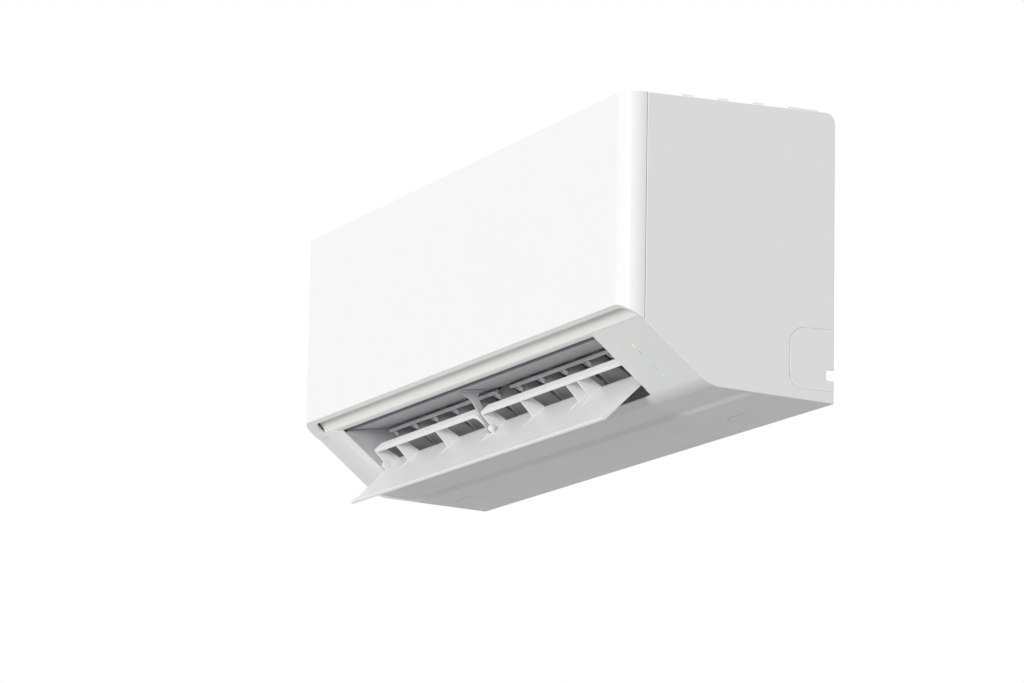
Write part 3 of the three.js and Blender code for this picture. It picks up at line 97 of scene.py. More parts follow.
world = bpy.data.worlds.new("studioWorld")
scene.world = world
world.use_nodes = True
tree = world.node_tree
tree.nodes.clear()
roomLight = tree.nodes.new("ShaderNodeBackground")
roomLight.inputs["Color"].default_value = (1, 1, 1, 1)
roomLight.inputs["Strength"].default_value = studio["ambient"]
backdropLight = tree.nodes.new("ShaderNodeBackground")
backdropLight.inputs["Color"].default_value = (1, 1, 1, 1)
backdropLight.inputs["Strength"].default_value = 1
worldMix = tree.nodes.new("ShaderNodeMixShader")
worldOut = tree.nodes.new("ShaderNodeOutputWorld")
tree.links.new(seenDirectly(tree), worldMix.inputs[0])
tree.links.new(roomLight.outputs[0], worldMix.inputs[1])
tree.links.new(backdropLight.outputs[0], worldMix.inputs[2])
tree.links.new(worldMix.outputs[0], worldOut.inputs["Surface"])

addSun("keySun", studio["key"], studio["keyStrength"], studio["keySoftness"])
addSun("topSun", (0, 0, 1), studio["topStrength"], studio["topSoftness"])

bpy.ops.mesh.primitive_plane_add(size=studio["floorSize"], location=(0, 0, studio["floorHeight"]))
floor = bpy.context.object
floor.name = "studioFloor"
floorPaint = bpy.data.materials.new("paleFloor")
floorPaint.use_nodes = True
floorTree = floorPaint.node_tree
floorMix = floorTree.nodes.new("ShaderNodeMix")
floorMix.data_type = "RGBA"
dark, pale = studio["floorForLight"], studio["floorPale"]
floorMix.inputs["A"].default_value = (dark, dark, dark, 1)
floorMix.inputs["B"].default_value = (pale, pale, pale, 1)
floorTree.links.new(seenDirectly(floorTree), floorMix.inputs["Factor"])
floorTree.links.new(floorMix.outputs["Result"], floorTree.nodes["Principled BSDF"].inputs["Base Color"])
floorTree.nodes["Principled BSDF"].inputs["Roughness"].default_value = 0.9
floorTree.nodes["Principled BSDF"].inputs["Specular IOR Level"].default_value = 0
floor.data.materials.append(floorPaint)
print("stage: camera and studio")

# materials: every pattern reads object coordinates, and its sizes are metres


def newMaterial(name, roughness=0.4, metallic=0.0):
    material = bpy.data.materials.new(name)
    material.use_nodes = True
    shader = material.node_tree.nodes["Principled BSDF"]
    shader.inputs["Roughness"].default_value = roughness
    shader.inputs["Metallic"].default_value = metallic
    return material, material.node_tree, shader


def pattern(tree, kind, size, stretch=(1, 1, 1), **settings):  # size is the pattern's grain in metres
    place = tree.nodes.new("ShaderNodeTexCoord")
    mapping = tree.nodes.new("ShaderNodeMapping")
    mapping.inputs["Scale"].default_value = stretch
    texture = tree.nodes.new(kind)
    texture.inputs["Scale"].default_value = 1 / size
    for key, value in settings.items():
        socket = key.replace("_", " ")
        if socket in texture.inputs:
            texture.inputs[socket].default_value = value
        else:
            setattr(texture, key, value)
    tree.links.new(place.outputs["Object"], mapping.inputs["Vector"])
    tree.links.new(mapping.outputs["Vector"], texture.inputs["Vector"])
    return texture.outputs["Distance" if kind == "ShaderNodeTexVoronoi" else "Fac"]


def spreadTo(tree, value, low, high, fromLow=0.3, fromHigh=0.7):
    fit = tree.nodes.new("ShaderNodeMapRange")
    fit.inputs["From Min"].default_value = fromLow
    fit.inputs["From Max"].default_value = fromHigh
    fit.inputs["To Min"].default_value = low
    fit.inputs["To Max"].default_value = high
    tree.links.new(value, fit.inputs["Value"])
    return fit.outputs["Result"]


def colourBetween(tree, value, first, second):
    mix = tree.nodes.new("ShaderNodeMix")
    mix.data_type = "RGBA"
    mix.inputs["A"].default_value = (*first, 1)
    mix.inputs["B"].default_value = (*second, 1)
    tree.links.new(value, mix.inputs["Factor"])
    return mix.outputs["Result"]


def relief(tree, shader, height, depth, strength=1.0, under=None):
    bump = tree.nodes.new("ShaderNodeBump")
    bump.inputs["Strength"].default_value = strength
    bump.inputs["Distance"].default_value = depth
    tree.links.new(height, bump.inputs["Height"])
    if under:
        tree.links.new(under, bump.inputs["Normal"])
    tree.links.new(bump.outputs["Normal"], shader.inputs["Normal"])
    return bump.outputs["Normal"]


def moulded(name, colour, roughness=0.38, grain=0.0006, depth=0.000012, mottle=0.012):
    material, tree, shader = newMaterial(name, roughness)
    shader.inputs["Specular IOR Level"].default_value = 0.2
    cloud = pattern(tree, "ShaderNodeTexNoise", 0.05, Detail=3)
    darker = tuple(c * (1 - mottle) for c in colour)
    paint = colourBetween(tree, spreadTo(tree, cloud, 0, 1), darker, colour)
    tree.links.new(paint, shader.inputs["Base Color"])
    sheen = pattern(tree, "ShaderNodeTexNoise", 0.02, Detail=2)
    tree.links.new(spreadTo(tree, sheen, roughness - 0.03, roughness + 0.04), shader.inputs["Roughness"])
    flow = relief(tree, shader, pattern(tree, "ShaderNodeTexNoise", 0.09, Detail=1), 0.0001, 0.2)
    relief(tree, shader, pattern(tree, "ShaderNodeTexNoise", grain, Detail=2), depth, 0.6, flow)
    return material


def brushed(name, colour, roughness=0.4, stretch=(1, 30, 30), metallic=1.0):
    material, tree, shader = newMaterial(name, roughness, metallic)
    lines = pattern(tree, "ShaderNodeTexNoise", 0.02, stretch, Detail=4)
    darker = tuple(c * 0.78 for c in colour)
    paint = colourBetween(tree, spreadTo(tree, lines, 0, 1), darker, colour)
    tree.links.new(paint, shader.inputs["Base Color"])
    tree.links.new(spreadTo(tree, lines, roughness - 0.08, roughness + 0.1), shader.inputs["Roughness"])
    relief(tree, shader, lines, 0.00002, 0.5)
    return material


def spangled(name, colour, roughness=0.42):  # galvanised sheet
    material, tree, shader = newMaterial(name, roughness, 1.0)
    crystals = pattern(tree, "ShaderNodeTexVoronoi", 0.009)
    darker = tuple(c * 0.8 for c in colour)
    tree.links.new(colourBetween(tree, spreadTo(tree, crystals, 0, 1, 0.1, 0.7), darker, colour),
                   shader.inputs["Base Color"])
    tree.links.new(spreadTo(tree, crystals, roughness - 0.1, roughness + 0.1, 0.1, 0.7),
                   shader.inputs["Roughness"])
    relief(tree, shader, pattern(tree, "ShaderNodeTexNoise", 0.004, Detail=3), 0.00003, 0.4)
    return material


# the gap colour, dark bands between the fins' edges, is painted shade for the depth between the sheets
def finned(name, colour, gap, pitch=0.0028):  # a stack of thin sheets, one every pitch along X
    material, tree, shader = newMaterial(name, 0.4, 0.85)
    fins = pattern(tree, "ShaderNodeTexWave", pitch * math.pi * 2, wave_profile="SIN", bands_direction="X")
    rows = pattern(tree, "ShaderNodeTexNoise", 0.012, (0.3, 1, 1), Detail=3)
    edge = spreadTo(tree, fins, 0, 1, 0.25, 0.6)
    tree.links.new(colourBetween(tree, edge, gap, colour), shader.inputs["Base Color"])
    tree.links.new(spreadTo(tree, rows, 0.3, 0.5), shader.inputs["Roughness"])
    relief(tree, shader, fins, 0.0006, 0.7)
    return material


# the near-black gap colour between the threads is painted shade, standing for the dark inside seen through
# the net
def meshed(name, colour, gap, pitch=0.0022):  # woven filter net
    material, tree, shader = newMaterial(name, 0.7)
    warp = pattern(tree, "ShaderNodeTexWave", pitch * math.pi * 2, bands_direction="X")
    weft = pattern(tree, "ShaderNodeTexWave", pitch * math.pi * 2, bands_direction="Z")
    weave = tree.nodes.new("ShaderNodeMath")
    weave.operation = "MAXIMUM"
    tree.links.new(warp, weave.inputs[0])
    tree.links.new(weft, weave.inputs[1])
    thread = spreadTo(tree, weave.outputs[0], 0, 1, 0.55, 0.85)
    tree.links.new(colourBetween(tree, thread, gap, colour), shader.inputs["Base Color"])
    relief(tree, shader, weave.outputs[0], 0.0004, 0.8)
    return material


def lacquered(name, colour, copperTone):  # circuit board with its tracks
    material, tree, shader = newMaterial(name, 0.35)
    tracks = pattern(tree, "ShaderNodeTexBrick", 0.016, Mortar_Size=0.03)
    tree.links.new(colourBetween(tree, tracks, copperTone, colour), shader.inputs["Base Color"])
    relief(tree, shader, tracks, 0.00004, 0.5)
    return material


def clearLens(name, colour, glow):
    material, tree, shader = newMaterial(name, 0.18)
    ripple = pattern(tree, "ShaderNodeTexNoise", 0.002, Detail=2)
    body = tuple(c * (1 - glow) for c in colour)
    darker = tuple(c * 0.85 for c in body)
    tree.links.new(colourBetween(tree, ripple, darker, body), shader.inputs["Base Color"])
    shader.inputs["Emission Color"].default_value = (*colour, 1)
    shader.inputs["Emission Strength"].default_value = glow
    shader.inputs["Coat Weight"].default_value = 0.6
    relief(tree, shader, ripple, 0.00002, 0.4)
    return material


finishes = {
    "front_white": moulded("glossyWhite", (0.93, 0.93, 0.93), 0.22, 0.0009, 0.000004, 0.004),
    "case_white": moulded("casingWhite", (0.925, 0.925, 0.925), 0.36),
    # the same white plastic as the casing, set a little darker for the underside: painted shade
    "under_white": moulded("undersideWhite", (0.90, 0.90, 0.90), 0.42),
    "cream": moulded("creamStrip", (0.90, 0.89, 0.85), 0.45),
    "duct_grey": moulded("ductGrey", (0.54, 0.54, 0.55), 0.5),
    "flap_white": moulded("flapWhite", (0.93, 0.93, 0.93)),
    "vane_grey": moulded("vaneGrey", (0.56, 0.56, 0.57), 0.45),
    "fan_grey": moulded("fanGrey", (0.16, 0.165, 0.17), 0.5, mottle=0.06),
    "dark_plastic": moulded("darkPlastic", (0.035, 0.038, 0.042), 0.5, mottle=0.15),
    "board": lacquered("greenBoard", (0.03, 0.14, 0.06), (0.10, 0.26, 0.10)),
    "lens": clearLens("paleLens", (0.78, 0.79, 0.80), 0.0),
    "lens_green": clearLens("greenLens", (0.56, 0.98, 0.13), 0.9),
    "lens_blue": clearLens("blueLens", (0.30, 0.71, 0.98), 0.9),
    # the second colour of the filter net is painted shade between its threads
    "filter_mesh": meshed("filterNet", (0.16, 0.17, 0.18), (0.03, 0.03, 0.035)),
    "galvanised": spangled("galvanised", (0.62, 0.64, 0.66)),
    # the second colour of the coil fins is painted shade between the sheets
    "fins": finned("coilFins", (0.72, 0.76, 0.78), (0.12, 0.13, 0.14)),
    "copper": brushed("drawnCopper", (0.72, 0.34, 0.16), 0.3, (4, 4, 4)),
    "brass": brushed("machinedBrass", (0.74, 0.55, 0.22), 0.28, (20, 20, 2)),
    "motor_steel": brushed("zincPlated", (0.55, 0.56, 0.58), 0.36, (40, 2, 2)),
}
for part in frame["record"]["subparts"]:
    node = frame["nodes"][part["node"]]
    node.data.materials.clear()
    node.data.materials.append(finishes[part["material_slot"]])
print("stage: materials")

# modelling: places are x, depth from the wall and height above the lowest edge, in millimetres

near = 1  # how close to its place an edge or a face is looked for
tight = 0.1
casing = {"half": 435, "top": 292.5, "middle": 154, "seam": 206, "front": 229, "foot": 133.5, "slopeTop": 67,
          "rise": 0.053, "lipHeight": 82, "gap": 0.3, "skin": 2.6}
footHeight = casing["rise"] * casing["foot"]
slopeAngle = math.atan2(casing["slopeTop"] - footHeight, casing["seam"] - casing["foot"])
slopeLength = (casing["seam"] - casing["foot"]) / math.cos(slopeAngle)
footBend = math.degrees(slopeAngle - math.atan(casing["rise"]))
lipRise = (casing["lipHeight"] - casing["slopeTop"]) / (casing["front"] - casing["seam"])
coreHalf = casing["half"] - casing["skin"] - casing["gap"]  # what lies between the side panels


def spot(x, depth, height):
    return Vector((x, -depth, height)) * mm


def onSlope(along, inward):  # depth and height of a place on the outlet's slope
    return (casing["foot"] + along * math.cos(slopeAngle) - inward * math.sin(slopeAngle),
            footHeight + along * math.sin(slopeAngle) + inward * math.cos(slopeAngle))


unitPlace = Matrix.Translation((0, 0, -casing["middle"] * mm))
ductPlace = (unitPlace @ Matrix.Translation(spot(0, casing["foot"], footHeight))
             @ Matrix.Rotation(-slopeAngle, 4, "X"))


def focus(*pieces):  # only these are selected, the first is active
    if bpy.context.object and bpy.context.object.mode != "OBJECT":
        bpy.ops.object.mode_set(mode="OBJECT")
    bpy.ops.object.select_all(action="DESELECT")
    for piece in pieces:
        piece.select_set(True)
    if pieces:
        bpy.context.view_layer.objects.active = pieces[0]


def settle():  # the object's place, turn and scale go into its mesh
    bpy.ops.object.transform_apply(location=True, rotation=True, scale=True)


def named(name):
    piece = bpy.context.object
    piece.name = name
    settle()
    return piece


def startBox(name, left, right, back, front, bottom, top):
    focus()
    bpy.ops.mesh.primitive_cube_add(size=1, location=spot((left + right) / 2, (back + front) / 2,
                                                          (bottom + top) / 2))
    bpy.context.object.scale = ((right - left) * mm, (front - back) * mm, (top - bottom) * mm)
    return named(name)


def startRod(name, radius, start, end, sides=32):
    focus()
    first, last = spot(*start), spot(*end)
    along = last - first
    bpy.ops.mesh.primitive_cylinder_add(vertices=sides, radius=radius * mm, depth=along.length,
                                        location=(first + last) / 2,
                                        rotation=along.to_track_quat("Z", "Y").to_euler())
    return named(name)


def runs(way, axis):  # an edge or a normal lies along the axis
    return abs(getattr(way, axis)) > 0.9


def pick(piece, kind, test):  # kind is VERT, EDGE or FACE; test gets the middle and the normal or direction
    if piece.mode != "EDIT":
        focus(piece)
        bpy.ops.object.mode_set(mode="EDIT")
    bpy.ops.mesh.select_mode(type=kind)
    bpy.ops.mesh.select_all(action="DESELECT")
    shape = bmesh.from_edit_mesh(piece.data)
    if kind == "FACE":
        found = [(face, face.calc_center_median(), face.normal) for face in shape.faces]
    elif kind == "EDGE":
        found = [(edge, (edge.verts[0].co + edge.verts[1].co) / 2, edge.verts[1].co - edge.verts[0].co)
                 for edge in shape.edges]
    else:
        found = [(vert, vert.co, vert.normal) for vert in shape.verts]
    for element, middle, way in found:
        way = way.normalized()
        if test(Vector((middle.x, -middle.y, middle.z)) / mm, Vector((way.x, -way.y, way.z))):
            element.select_set(True)
    shape.select_flush_mode()
    bmesh.update_edit_mesh(piece.data)


def pickAll(piece, kind="FACE"):
    pick(piece, kind, lambda middle, way: True)


def roundEdges(piece, radius, segments, test, turn=90):  # turn is how far the faces bend at the edge
    pick(piece, "EDGE", test)
    bpy.ops.mesh.bevel(offset=radius * mm * math.tan(math.radians(turn) / 2), segments=segments,
                       affect="EDGES", clamp_overlap=False)


def slicePiece(piece, place, away):  # takes off what lies on the side that away points to
    pickAll(piece)
    bpy.ops.mesh.bisect(plane_co=spot(*place), plane_no=spot(*away).normalized(), use_fill=True,
                        clear_outer=True)


def creasePiece(piece, depth):  # a new line of edges across the piece at a depth
    pickAll(piece)
    bpy.ops.mesh.bisect(plane_co=spot(0, depth, 0), plane_no=(0, 1, 0))


def applied(piece, kind, **settings):
    focus(piece)
    bpy.ops.object.modifier_add(type=kind)
    modifier = piece.modifiers[-1]
    for key, value in settings.items():
        setattr(modifier, key, value)
    bpy.ops.object.modifier_apply(modifier=modifier.name)


def combine(piece, how, *tools):
    for tool in tools:
        applied(piece, "BOOLEAN", operation=how, solver="EXACT", object=tool)
        bpy.data.objects.remove(tool)
    return piece


def cutAway(piece, *tools):
    return combine(piece, "DIFFERENCE", *tools)


def softenEdges(piece, width, segments=2, angle=35):
    applied(piece, "BEVEL", width=width * mm, segments=segments, limit_method="ANGLE",
            angle_limit=math.radians(angle), harden_normals=False, use_clamp_overlap=True)


def weld(name, *pieces):
    focus(*pieces)
    if len(pieces) > 1:
        bpy.ops.object.join()
    pieces[0].name = name
    return pieces[0]


def copied(piece, name, move=(0, 0, 0)):
    focus(piece)
    bpy.ops.object.duplicate(linked=False)
    double = bpy.context.object
    double.name = name
    double.location = spot(*move)
    settle()
    return double


def flipped(piece, name):  # the same piece on the other side of the unit
    double = copied(piece, name)
    double.scale.x = -1
    settle()
    pickAll(double)
    bpy.ops.mesh.normals_make_consistent(inside=False)
    return double


def drawPrism(name, outline, left, right):  # a bar along X whose section is the outline of depth and height
    focus()
    path = [spot(left, *place) for place in (*outline, outline[0])]
    across, along = spot(right - left, 0, 0), path[1] - path[0]
    axes = Matrix((along.normalized(), across.normalized(), along.cross(across).normalized())).transposed()
    bpy.ops.mesh.primitive_plane_add(size=1, location=(path[0] + path[1] + across) / 2,
                                     rotation=axes.to_euler())
    bpy.context.object.scale = (along.length, across.length, 1)
    piece = named(name)
    edge = Vector(((left + right) / 2, *outline[1]))
    pick(piece, "EDGE", lambda middle, way: (middle - edge).length < 0.01)
    for before, after in zip(path[1:], path[2:]):
        bpy.ops.mesh.extrude_region_move(TRANSFORM_OT_translate={"value": after - before})
    pickAll(piece, "VERT")
    bpy.ops.mesh.remove_doubles(threshold=0.01 * mm)
    for end in (left, right):
        pick(piece, "EDGE", lambda middle, way: abs(middle.x - end) < 0.01)
        bpy.ops.mesh.edge_face_add()
    pickAll(piece)
    bpy.ops.mesh.normals_make_consistent(inside=False)
    return piece


def finishPiece(piece, place, body, slot, *nodes, smooth=35):
    focus(piece)
    piece.matrix_world = place
    settle()
    bpy.ops.object.shade_smooth_by_angle(angle=math.radians(smooth))
    applied(piece, "WEIGHTED_NORMAL", weight=50, keep_sharp=True)
    piece.data.materials.clear()
    piece.data.materials.append(finishes[slot])
    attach(piece, body)
    if nodes:
        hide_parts(*nodes)
    return piece


# covers

panelShape = {"corner": 22, "wall": 3, "rim": 4.5, "rimWall": 2.5, "rimEnd": 27, "rimCorner": 15, "edge": 0.9,
              "blockBack": 150, "blockFoot": 40, "hollowTop": 320, "cutFoot": 20, "cutTop": 150,
              "earX": 398, "earHalf": 2, "earRoot": 0.5, "eye": 4.6, "eyeRound": 0.98, "earSoft": 0.4,
              "pinDepth": 219.5, "pinHeight": 288.5, "pin": 2, "pinLength": 9}


def planBlock(name, inset, top):  # the panel's rounded outline from above, set in
    size = panelShape
    half, front = casing["half"] - inset, casing["front"] - inset
    block = startBox(name, -half, half, size["blockBack"], front, size["blockFoot"], top)
    roundEdges(block, size["corner"] - inset, 14,
               lambda middle, way: runs(way, "z") and middle.y > front - near)
    return block


def mouthBlock(name, gap):  # outline of the panel's mouth, wider closed at the left end
    size = panelShape
    left, right = size["rimEnd"] + gap - casing["half"], casing["half"] - size["wall"] - gap
    front = casing["front"] - size["rim"] - gap
    block = startBox(name, left, right, size["blockBack"], front, size["cutFoot"], size["cutTop"])
    for side, radius in ((left, size["rimCorner"]), (right, size["corner"] - size["wall"])):
        roundEdges(block, radius - gap, 12, lambda middle, way: runs(way, "z")
                   and middle.y > front - near and abs(middle.x - side) < near)
    return block


def makeFrontPanel():
    size = panelShape
    panel = planBlock("frontPanel", 0, casing["top"])
    slicePiece(panel, (0, casing["seam"], casing["slopeTop"]), (0, lipRise, -1))
    slicePiece(panel, (0, casing["seam"], 0), (0, -1, 0))
    hollow = planBlock("hollow", size["wall"], size["hollowTop"])
    slicePiece(hollow, (0, casing["seam"], casing["slopeTop"] + size["rimWall"]), (0, lipRise, -1))
    cutAway(panel, hollow, mouthBlock("mouth", 0))
    softenEdges(panel, size["edge"], 3)
    depth, height = size["pinDepth"], size["pinHeight"]
    ears = []
    for side in (-1, 1):
        x = side * size["earX"]
        ear = startBox("ear", x - size["earHalf"], x + size["earHalf"], depth - size["eye"],
                       casing["front"] - size["wall"] + size["earRoot"], height - size["eye"],
                       casing["top"] - size["earSoft"])
        roundEdges(ear, size["eye"] * size["eyeRound"], 8,
                   lambda middle, way: runs(way, "x") and middle.y < depth and middle.z < height)
        end = x + side * size["pinLength"]
        pin = startRod("pin", size["pin"], (x, depth, height), (end, depth, height), 24)
        for piece in (ear, pin):
            softenEdges(piece, size["earSoft"])
            ears.append(piece)
    finishPiece(weld("frontPanel", panel, *ears), unitPlace, "front_panel", "front_white", "front_panel")


sideShape = {"gap": 0.8, "belly": 32, "rearTop": 11, "edge": 0.9, "soft": 0.22, "blockFoot": -10,
             "outletDepth": 49, "outletBottom": 11, "outletTop": 74, "outletRadius": 17, "groove": 1.2,
             "grooveCut": 0.9, "notchInto": 9, "notchDepth": 8.5, "notchBottom": 22.5, "notchTop": 33.6,
             "notchCorner": 3, "cutBack": -11, "cutPast": 2}


def makeSidePanels():
    size = sideShape
    half = casing["half"]
    panel = startBox("sidePanelRight", half - casing["skin"], half, 0, casing["seam"] - size["gap"],
                     size["blockFoot"], casing["top"])
    slicePiece(panel, (0, casing["foot"], footHeight), (0, casing["rise"], -1))
    slicePiece(panel, (0, casing["foot"], footHeight), (0, math.sin(slopeAngle), -math.cos(slopeAngle)))
    roundEdges(panel, size["belly"], 16, lambda middle, way: runs(way, "x")
               and abs(middle.y - casing["foot"]) < near and middle.z < footHeight + near, footBend)
    roundEdges(panel, size["rearTop"], 10, lambda middle, way: runs(way, "x") and middle.y < near
               and middle.z > casing["top"] - near)
    roundEdges(panel, size["edge"], 3, lambda middle, way: middle.x > half - 0.01)
    ring = []
    for inset in (0, size["groove"]):
        block = startBox("ring", half - size["grooveCut"] - inset, half + size["cutPast"] + inset,
                         size["cutBack"], size["outletDepth"] - inset,
                         size["outletBottom"] + inset, size["outletTop"] - inset)
        roundEdges(block, size["outletRadius"] - inset, 12,
                   lambda middle, way: runs(way, "x") and middle.y > 0)
        ring.append(block)
    notch = startBox("notch", half - size["notchInto"], half + size["cutPast"], size["cutBack"],
                     size["notchDepth"], size["notchBottom"], size["notchTop"])
    roundEdges(notch, size["notchCorner"], 6, lambda middle, way: runs(way, "x") and middle.y > 0)
    cutAway(panel, cutAway(*ring), notch)
    softenEdges(panel, size["soft"], 2, 60)
    left = flipped(panel, "sidePanelLeft")
    finishPiece(panel, unitPlace, "casing", "case_white", "side_panel_right")
    finishPiece(left, unitPlace, "casing", "case_white", "side_panel_left")


makeFrontPanel()
makeSidePanels()
print("stage: front and side panels")

outletShape = {"left": -366, "right": 315, "recess": 0.5, "foot": 10.8, "stepEnd": 90.8, "step": 2.4,
               "sillStart": 0.6, "sillRun": 5.4, "lipGap": 0.8, "play": 0.3, "soft": 0.3,
               "cutOut": -4, "cutIn": 8, "endsHalf": 450, "endsBack": -0.4, "endsFront": 240,
               "endsFoot": 30, "endsTop": 120}
ledgeShape = {"count": 3, "left": 3.6, "right": 0.3, "foot": 6, "sill": 1.15, "deepest": 2.1, "fall": 0.55}
flangeShape = {"over": 3, "wall": 1.6, "start": 1.4, "end": 6.7, "soft": 0.3}
# size of the dark strip of painted shade along the duct's roof, behind the sill
shadeStripShape = {"start": 88.4, "width": 2.6, "low": 6.4, "high": 9, "soft": 0.4}
trimShape = {"left": -407.2, "right": -379, "wall": 1.4, "proud": 0.2, "edge": 0.7}
sillStart, sillEnd = slopeLength + outletShape["sillStart"], slopeLength + outletShape["sillRun"]


def frontFoot(recess, lift):  # where the slope's face meets the front part of the underside
    along = ((lift - recess * (math.cos(slopeAngle) + casing["rise"] * math.sin(slopeAngle)))
             / (math.sin(slopeAngle) - casing["rise"] * math.cos(slopeAngle)))
    return onSlope(along, recess)


def outletCuts():  # the mouth with its stepped rim, the trim's pocket and the indicators' windows
    size, ledge, trim, led = outletShape, ledgeShape, trimShape, ledShape
    play = size["play"]
    mouth = startBox("mouth", size["left"], size["right"], size["foot"], sillStart,
                     size["cutOut"], size["cutIn"])
    steps = [startBox("step", size["left"] - ledge["left"] * i, size["right"] + ledge["right"] * i,
                      size["foot"] + ledge["foot"] + i, sillStart + ledge["sill"] * i, size["cutOut"] - i,
                      size["recess"] + ledge["deepest"] - ledge["fall"] * i)
             for i in range(1, ledge["count"] + 1)]
    pocket = startBox("pocket", trim["left"] - play, trim["right"] + play, size["foot"] - play,
                      sillEnd + near, size["cutOut"], size["recess"] + trim["wall"])
    windows = [startBox("window", led["x"] - play, led["x"] + led["width"] + play, along - play,
                        along + led["length"] + play, size["cutOut"], size["cutIn"]) for along in ledPlaces]
    tools = [mouth, *steps, pocket, *windows]
    for tool in tools:
        focus(tool)
        tool.matrix_world = unitPlace.inverted() @ ductPlace
        settle()
    return tools


def makeOutletFrame():
    size = outletShape
    lift = casing["rise"] * size["stepEnd"] + size["step"]
    inner = size["recess"] + casing["skin"]
    feet = frontFoot(size["recess"], size["step"]), frontFoot(inner, size["step"] + casing["skin"])
    outline = (onSlope(sillEnd, size["recess"]), feet[0], (size["stepEnd"], lift),
               (size["stepEnd"], lift + casing["skin"]), feet[1], onSlope(sillEnd, inner))
    shell = drawPrism("outletFrame", outline, -coreHalf, coreHalf)
    for foot, radius in zip(feet, (sideShape["belly"], sideShape["belly"] - casing["skin"])):
        roundEdges(shell, radius, 16, lambda middle, way: runs(way, "x") and abs(middle.y - foot[0]) < tight
                   and abs(middle.z - foot[1]) < tight, footBend)
    ends = startBox("ends", -size["endsHalf"], size["endsHalf"], casing["seam"] + size["endsBack"],
                    size["endsFront"], size["endsFoot"], size["endsTop"])
    cutAway(shell, cutAway(ends, mouthBlock("mouth", size["lipGap"])))
    cutAway(shell, *outletCuts())
    softenEdges(shell, size["soft"], 2, 50)
    finishPiece(shell, unitPlace, "casing", "under_white", "outlet_frame")

    rim = flangeShape
    flange = startBox("sillFlange", size["left"] - rim["over"], size["right"] + rim["over"], sillStart,
                      sillStart + rim["wall"], size["recess"] + rim["start"], rim["end"])
    softenEdges(flange, rim["soft"])
    finishPiece(flange, ductPlace, "casing", "under_white")

    # a dark strip of painted shade where the gap between the sill and the duct's roof lies in shade
    strip = shadeStripShape
    shadeStrip = startBox("roofSeal", size["left"], size["right"], strip["start"], strip["start"] + strip["width"],
                    strip["low"], strip["high"])
    softenEdges(shadeStrip, strip["soft"])
    finishPiece(shadeStrip, ductPlace, "casing", "fan_grey")

    shape = trimShape
    trim = startBox("endTrim", shape["left"], shape["right"], size["foot"], sillEnd, shape["proud"],
                    size["recess"] + shape["wall"] - size["play"])
    roundEdges(trim, shape["edge"], 3, lambda middle, way: middle.z < shape["proud"] + tight)
    finishPiece(trim, ductPlace, "casing", "front_white", "outlet_end_trim")


ledShape = {"x": 368.7, "first": 26.7, "pitch": 10.3, "count": 5, "width": 3, "length": 4.4, "low": 0.5,
            "high": 3.6, "corner": 0.5, "edge": 0.25, "baseSide": 4, "baseEnd": 5, "baseLow": 3.4,
            "baseHigh": 5.1, "baseSoft": 0.4}
ledPlaces = [ledShape["first"] + ledShape["pitch"] * i for i in range(ledShape["count"])]


def makeIndicators():
    size = ledShape
    left, right, start = size["x"], size["x"] + size["width"], size["first"]
    base = startBox("indicatorBase", left - size["baseSide"], right + size["baseSide"],
                    start - size["baseEnd"], ledPlaces[-1] + size["length"] + size["baseEnd"],
                    size["baseLow"], size["baseHigh"])
    softenEdges(base, size["baseSoft"])
    finishPiece(base, ductPlace, "casing", "lens", "indicator_lenses")
    lens = startBox("lens", left, right, start, start + size["length"], size["low"], size["high"])
    roundEdges(lens, size["corner"], 3, lambda middle, way: runs(way, "z"))
    roundEdges(lens, size["edge"], 2, lambda middle, way: middle.z < size["low"] + tight)
    glows = ("lens_blue", None, "lens_blue", None, "lens_green")
    for i, (along, glow) in enumerate(zip(ledPlaces, glows)):
        pip = copied(lens, f"indicator{i + 1}", (0, along - start, 0))
        finishPiece(pip, ductPlace, "casing", "lens")
        if glow:
            pip.data.materials[0] = finishes[glow]
    bpy.data.objects.remove(lens)


coveShape = {"sag": 2.8, "wall": 2, "gap": 0.8, "sillPlay": 0.3, "rimPlay": 1, "flange": 4.1, "top": 90,
             "back": 208.5, "points": 12, "hidden": 3, "endPlay": 1, "soft": 0.3}


def makeCove():
    size = coveShape
    foot = sillEnd + size["sillPlay"]
    start = Vector((0, *onSlope(foot, outletShape["recess"])))
    inner = casing["front"] - panelShape["rim"]
    end = Vector((0, inner - size["gap"], casing["slopeTop"] + (inner - casing["seam"]) * lipRise
                  + panelShape["rimWall"] + size["rimPlay"]))
    chord = end - start
    inward = Vector((0, -chord.z, chord.y)).normalized()
    shares = [i / size["points"] for i in range(size["points"] + 1)]
    curve = [start + chord * share + inward * (4 * size["sag"] * share * (1 - share)) for share in shares]
    behind = [place + inward * size["wall"] for place in curve[size["hidden"]:]]
    shelf, inside = size["top"] - size["wall"], end.y - size["wall"]
    outline = [onSlope(foot, size["flange"]), *((place.y, place.z) for place in curve), (end.y, size["top"]),
               (size["back"], size["top"]), (size["back"], shelf), (inside, shelf),
               *((min(place.y, inside), place.z) for place in reversed(behind)),
               onSlope(foot + size["wall"], size["flange"])]
    strip = drawPrism("coveStrip", outline, size["endPlay"] - coreHalf, coreHalf - size["endPlay"])
    combine(strip, "INTERSECT", mouthBlock("plan", size["gap"]))
    softenEdges(strip, size["soft"], 2, 50)
    finishPiece(strip, unitPlace, "casing", "cream", "cove_strip")


makeOutletFrame()
makeIndicators()
makeCove()
print("stage: outlet frame")


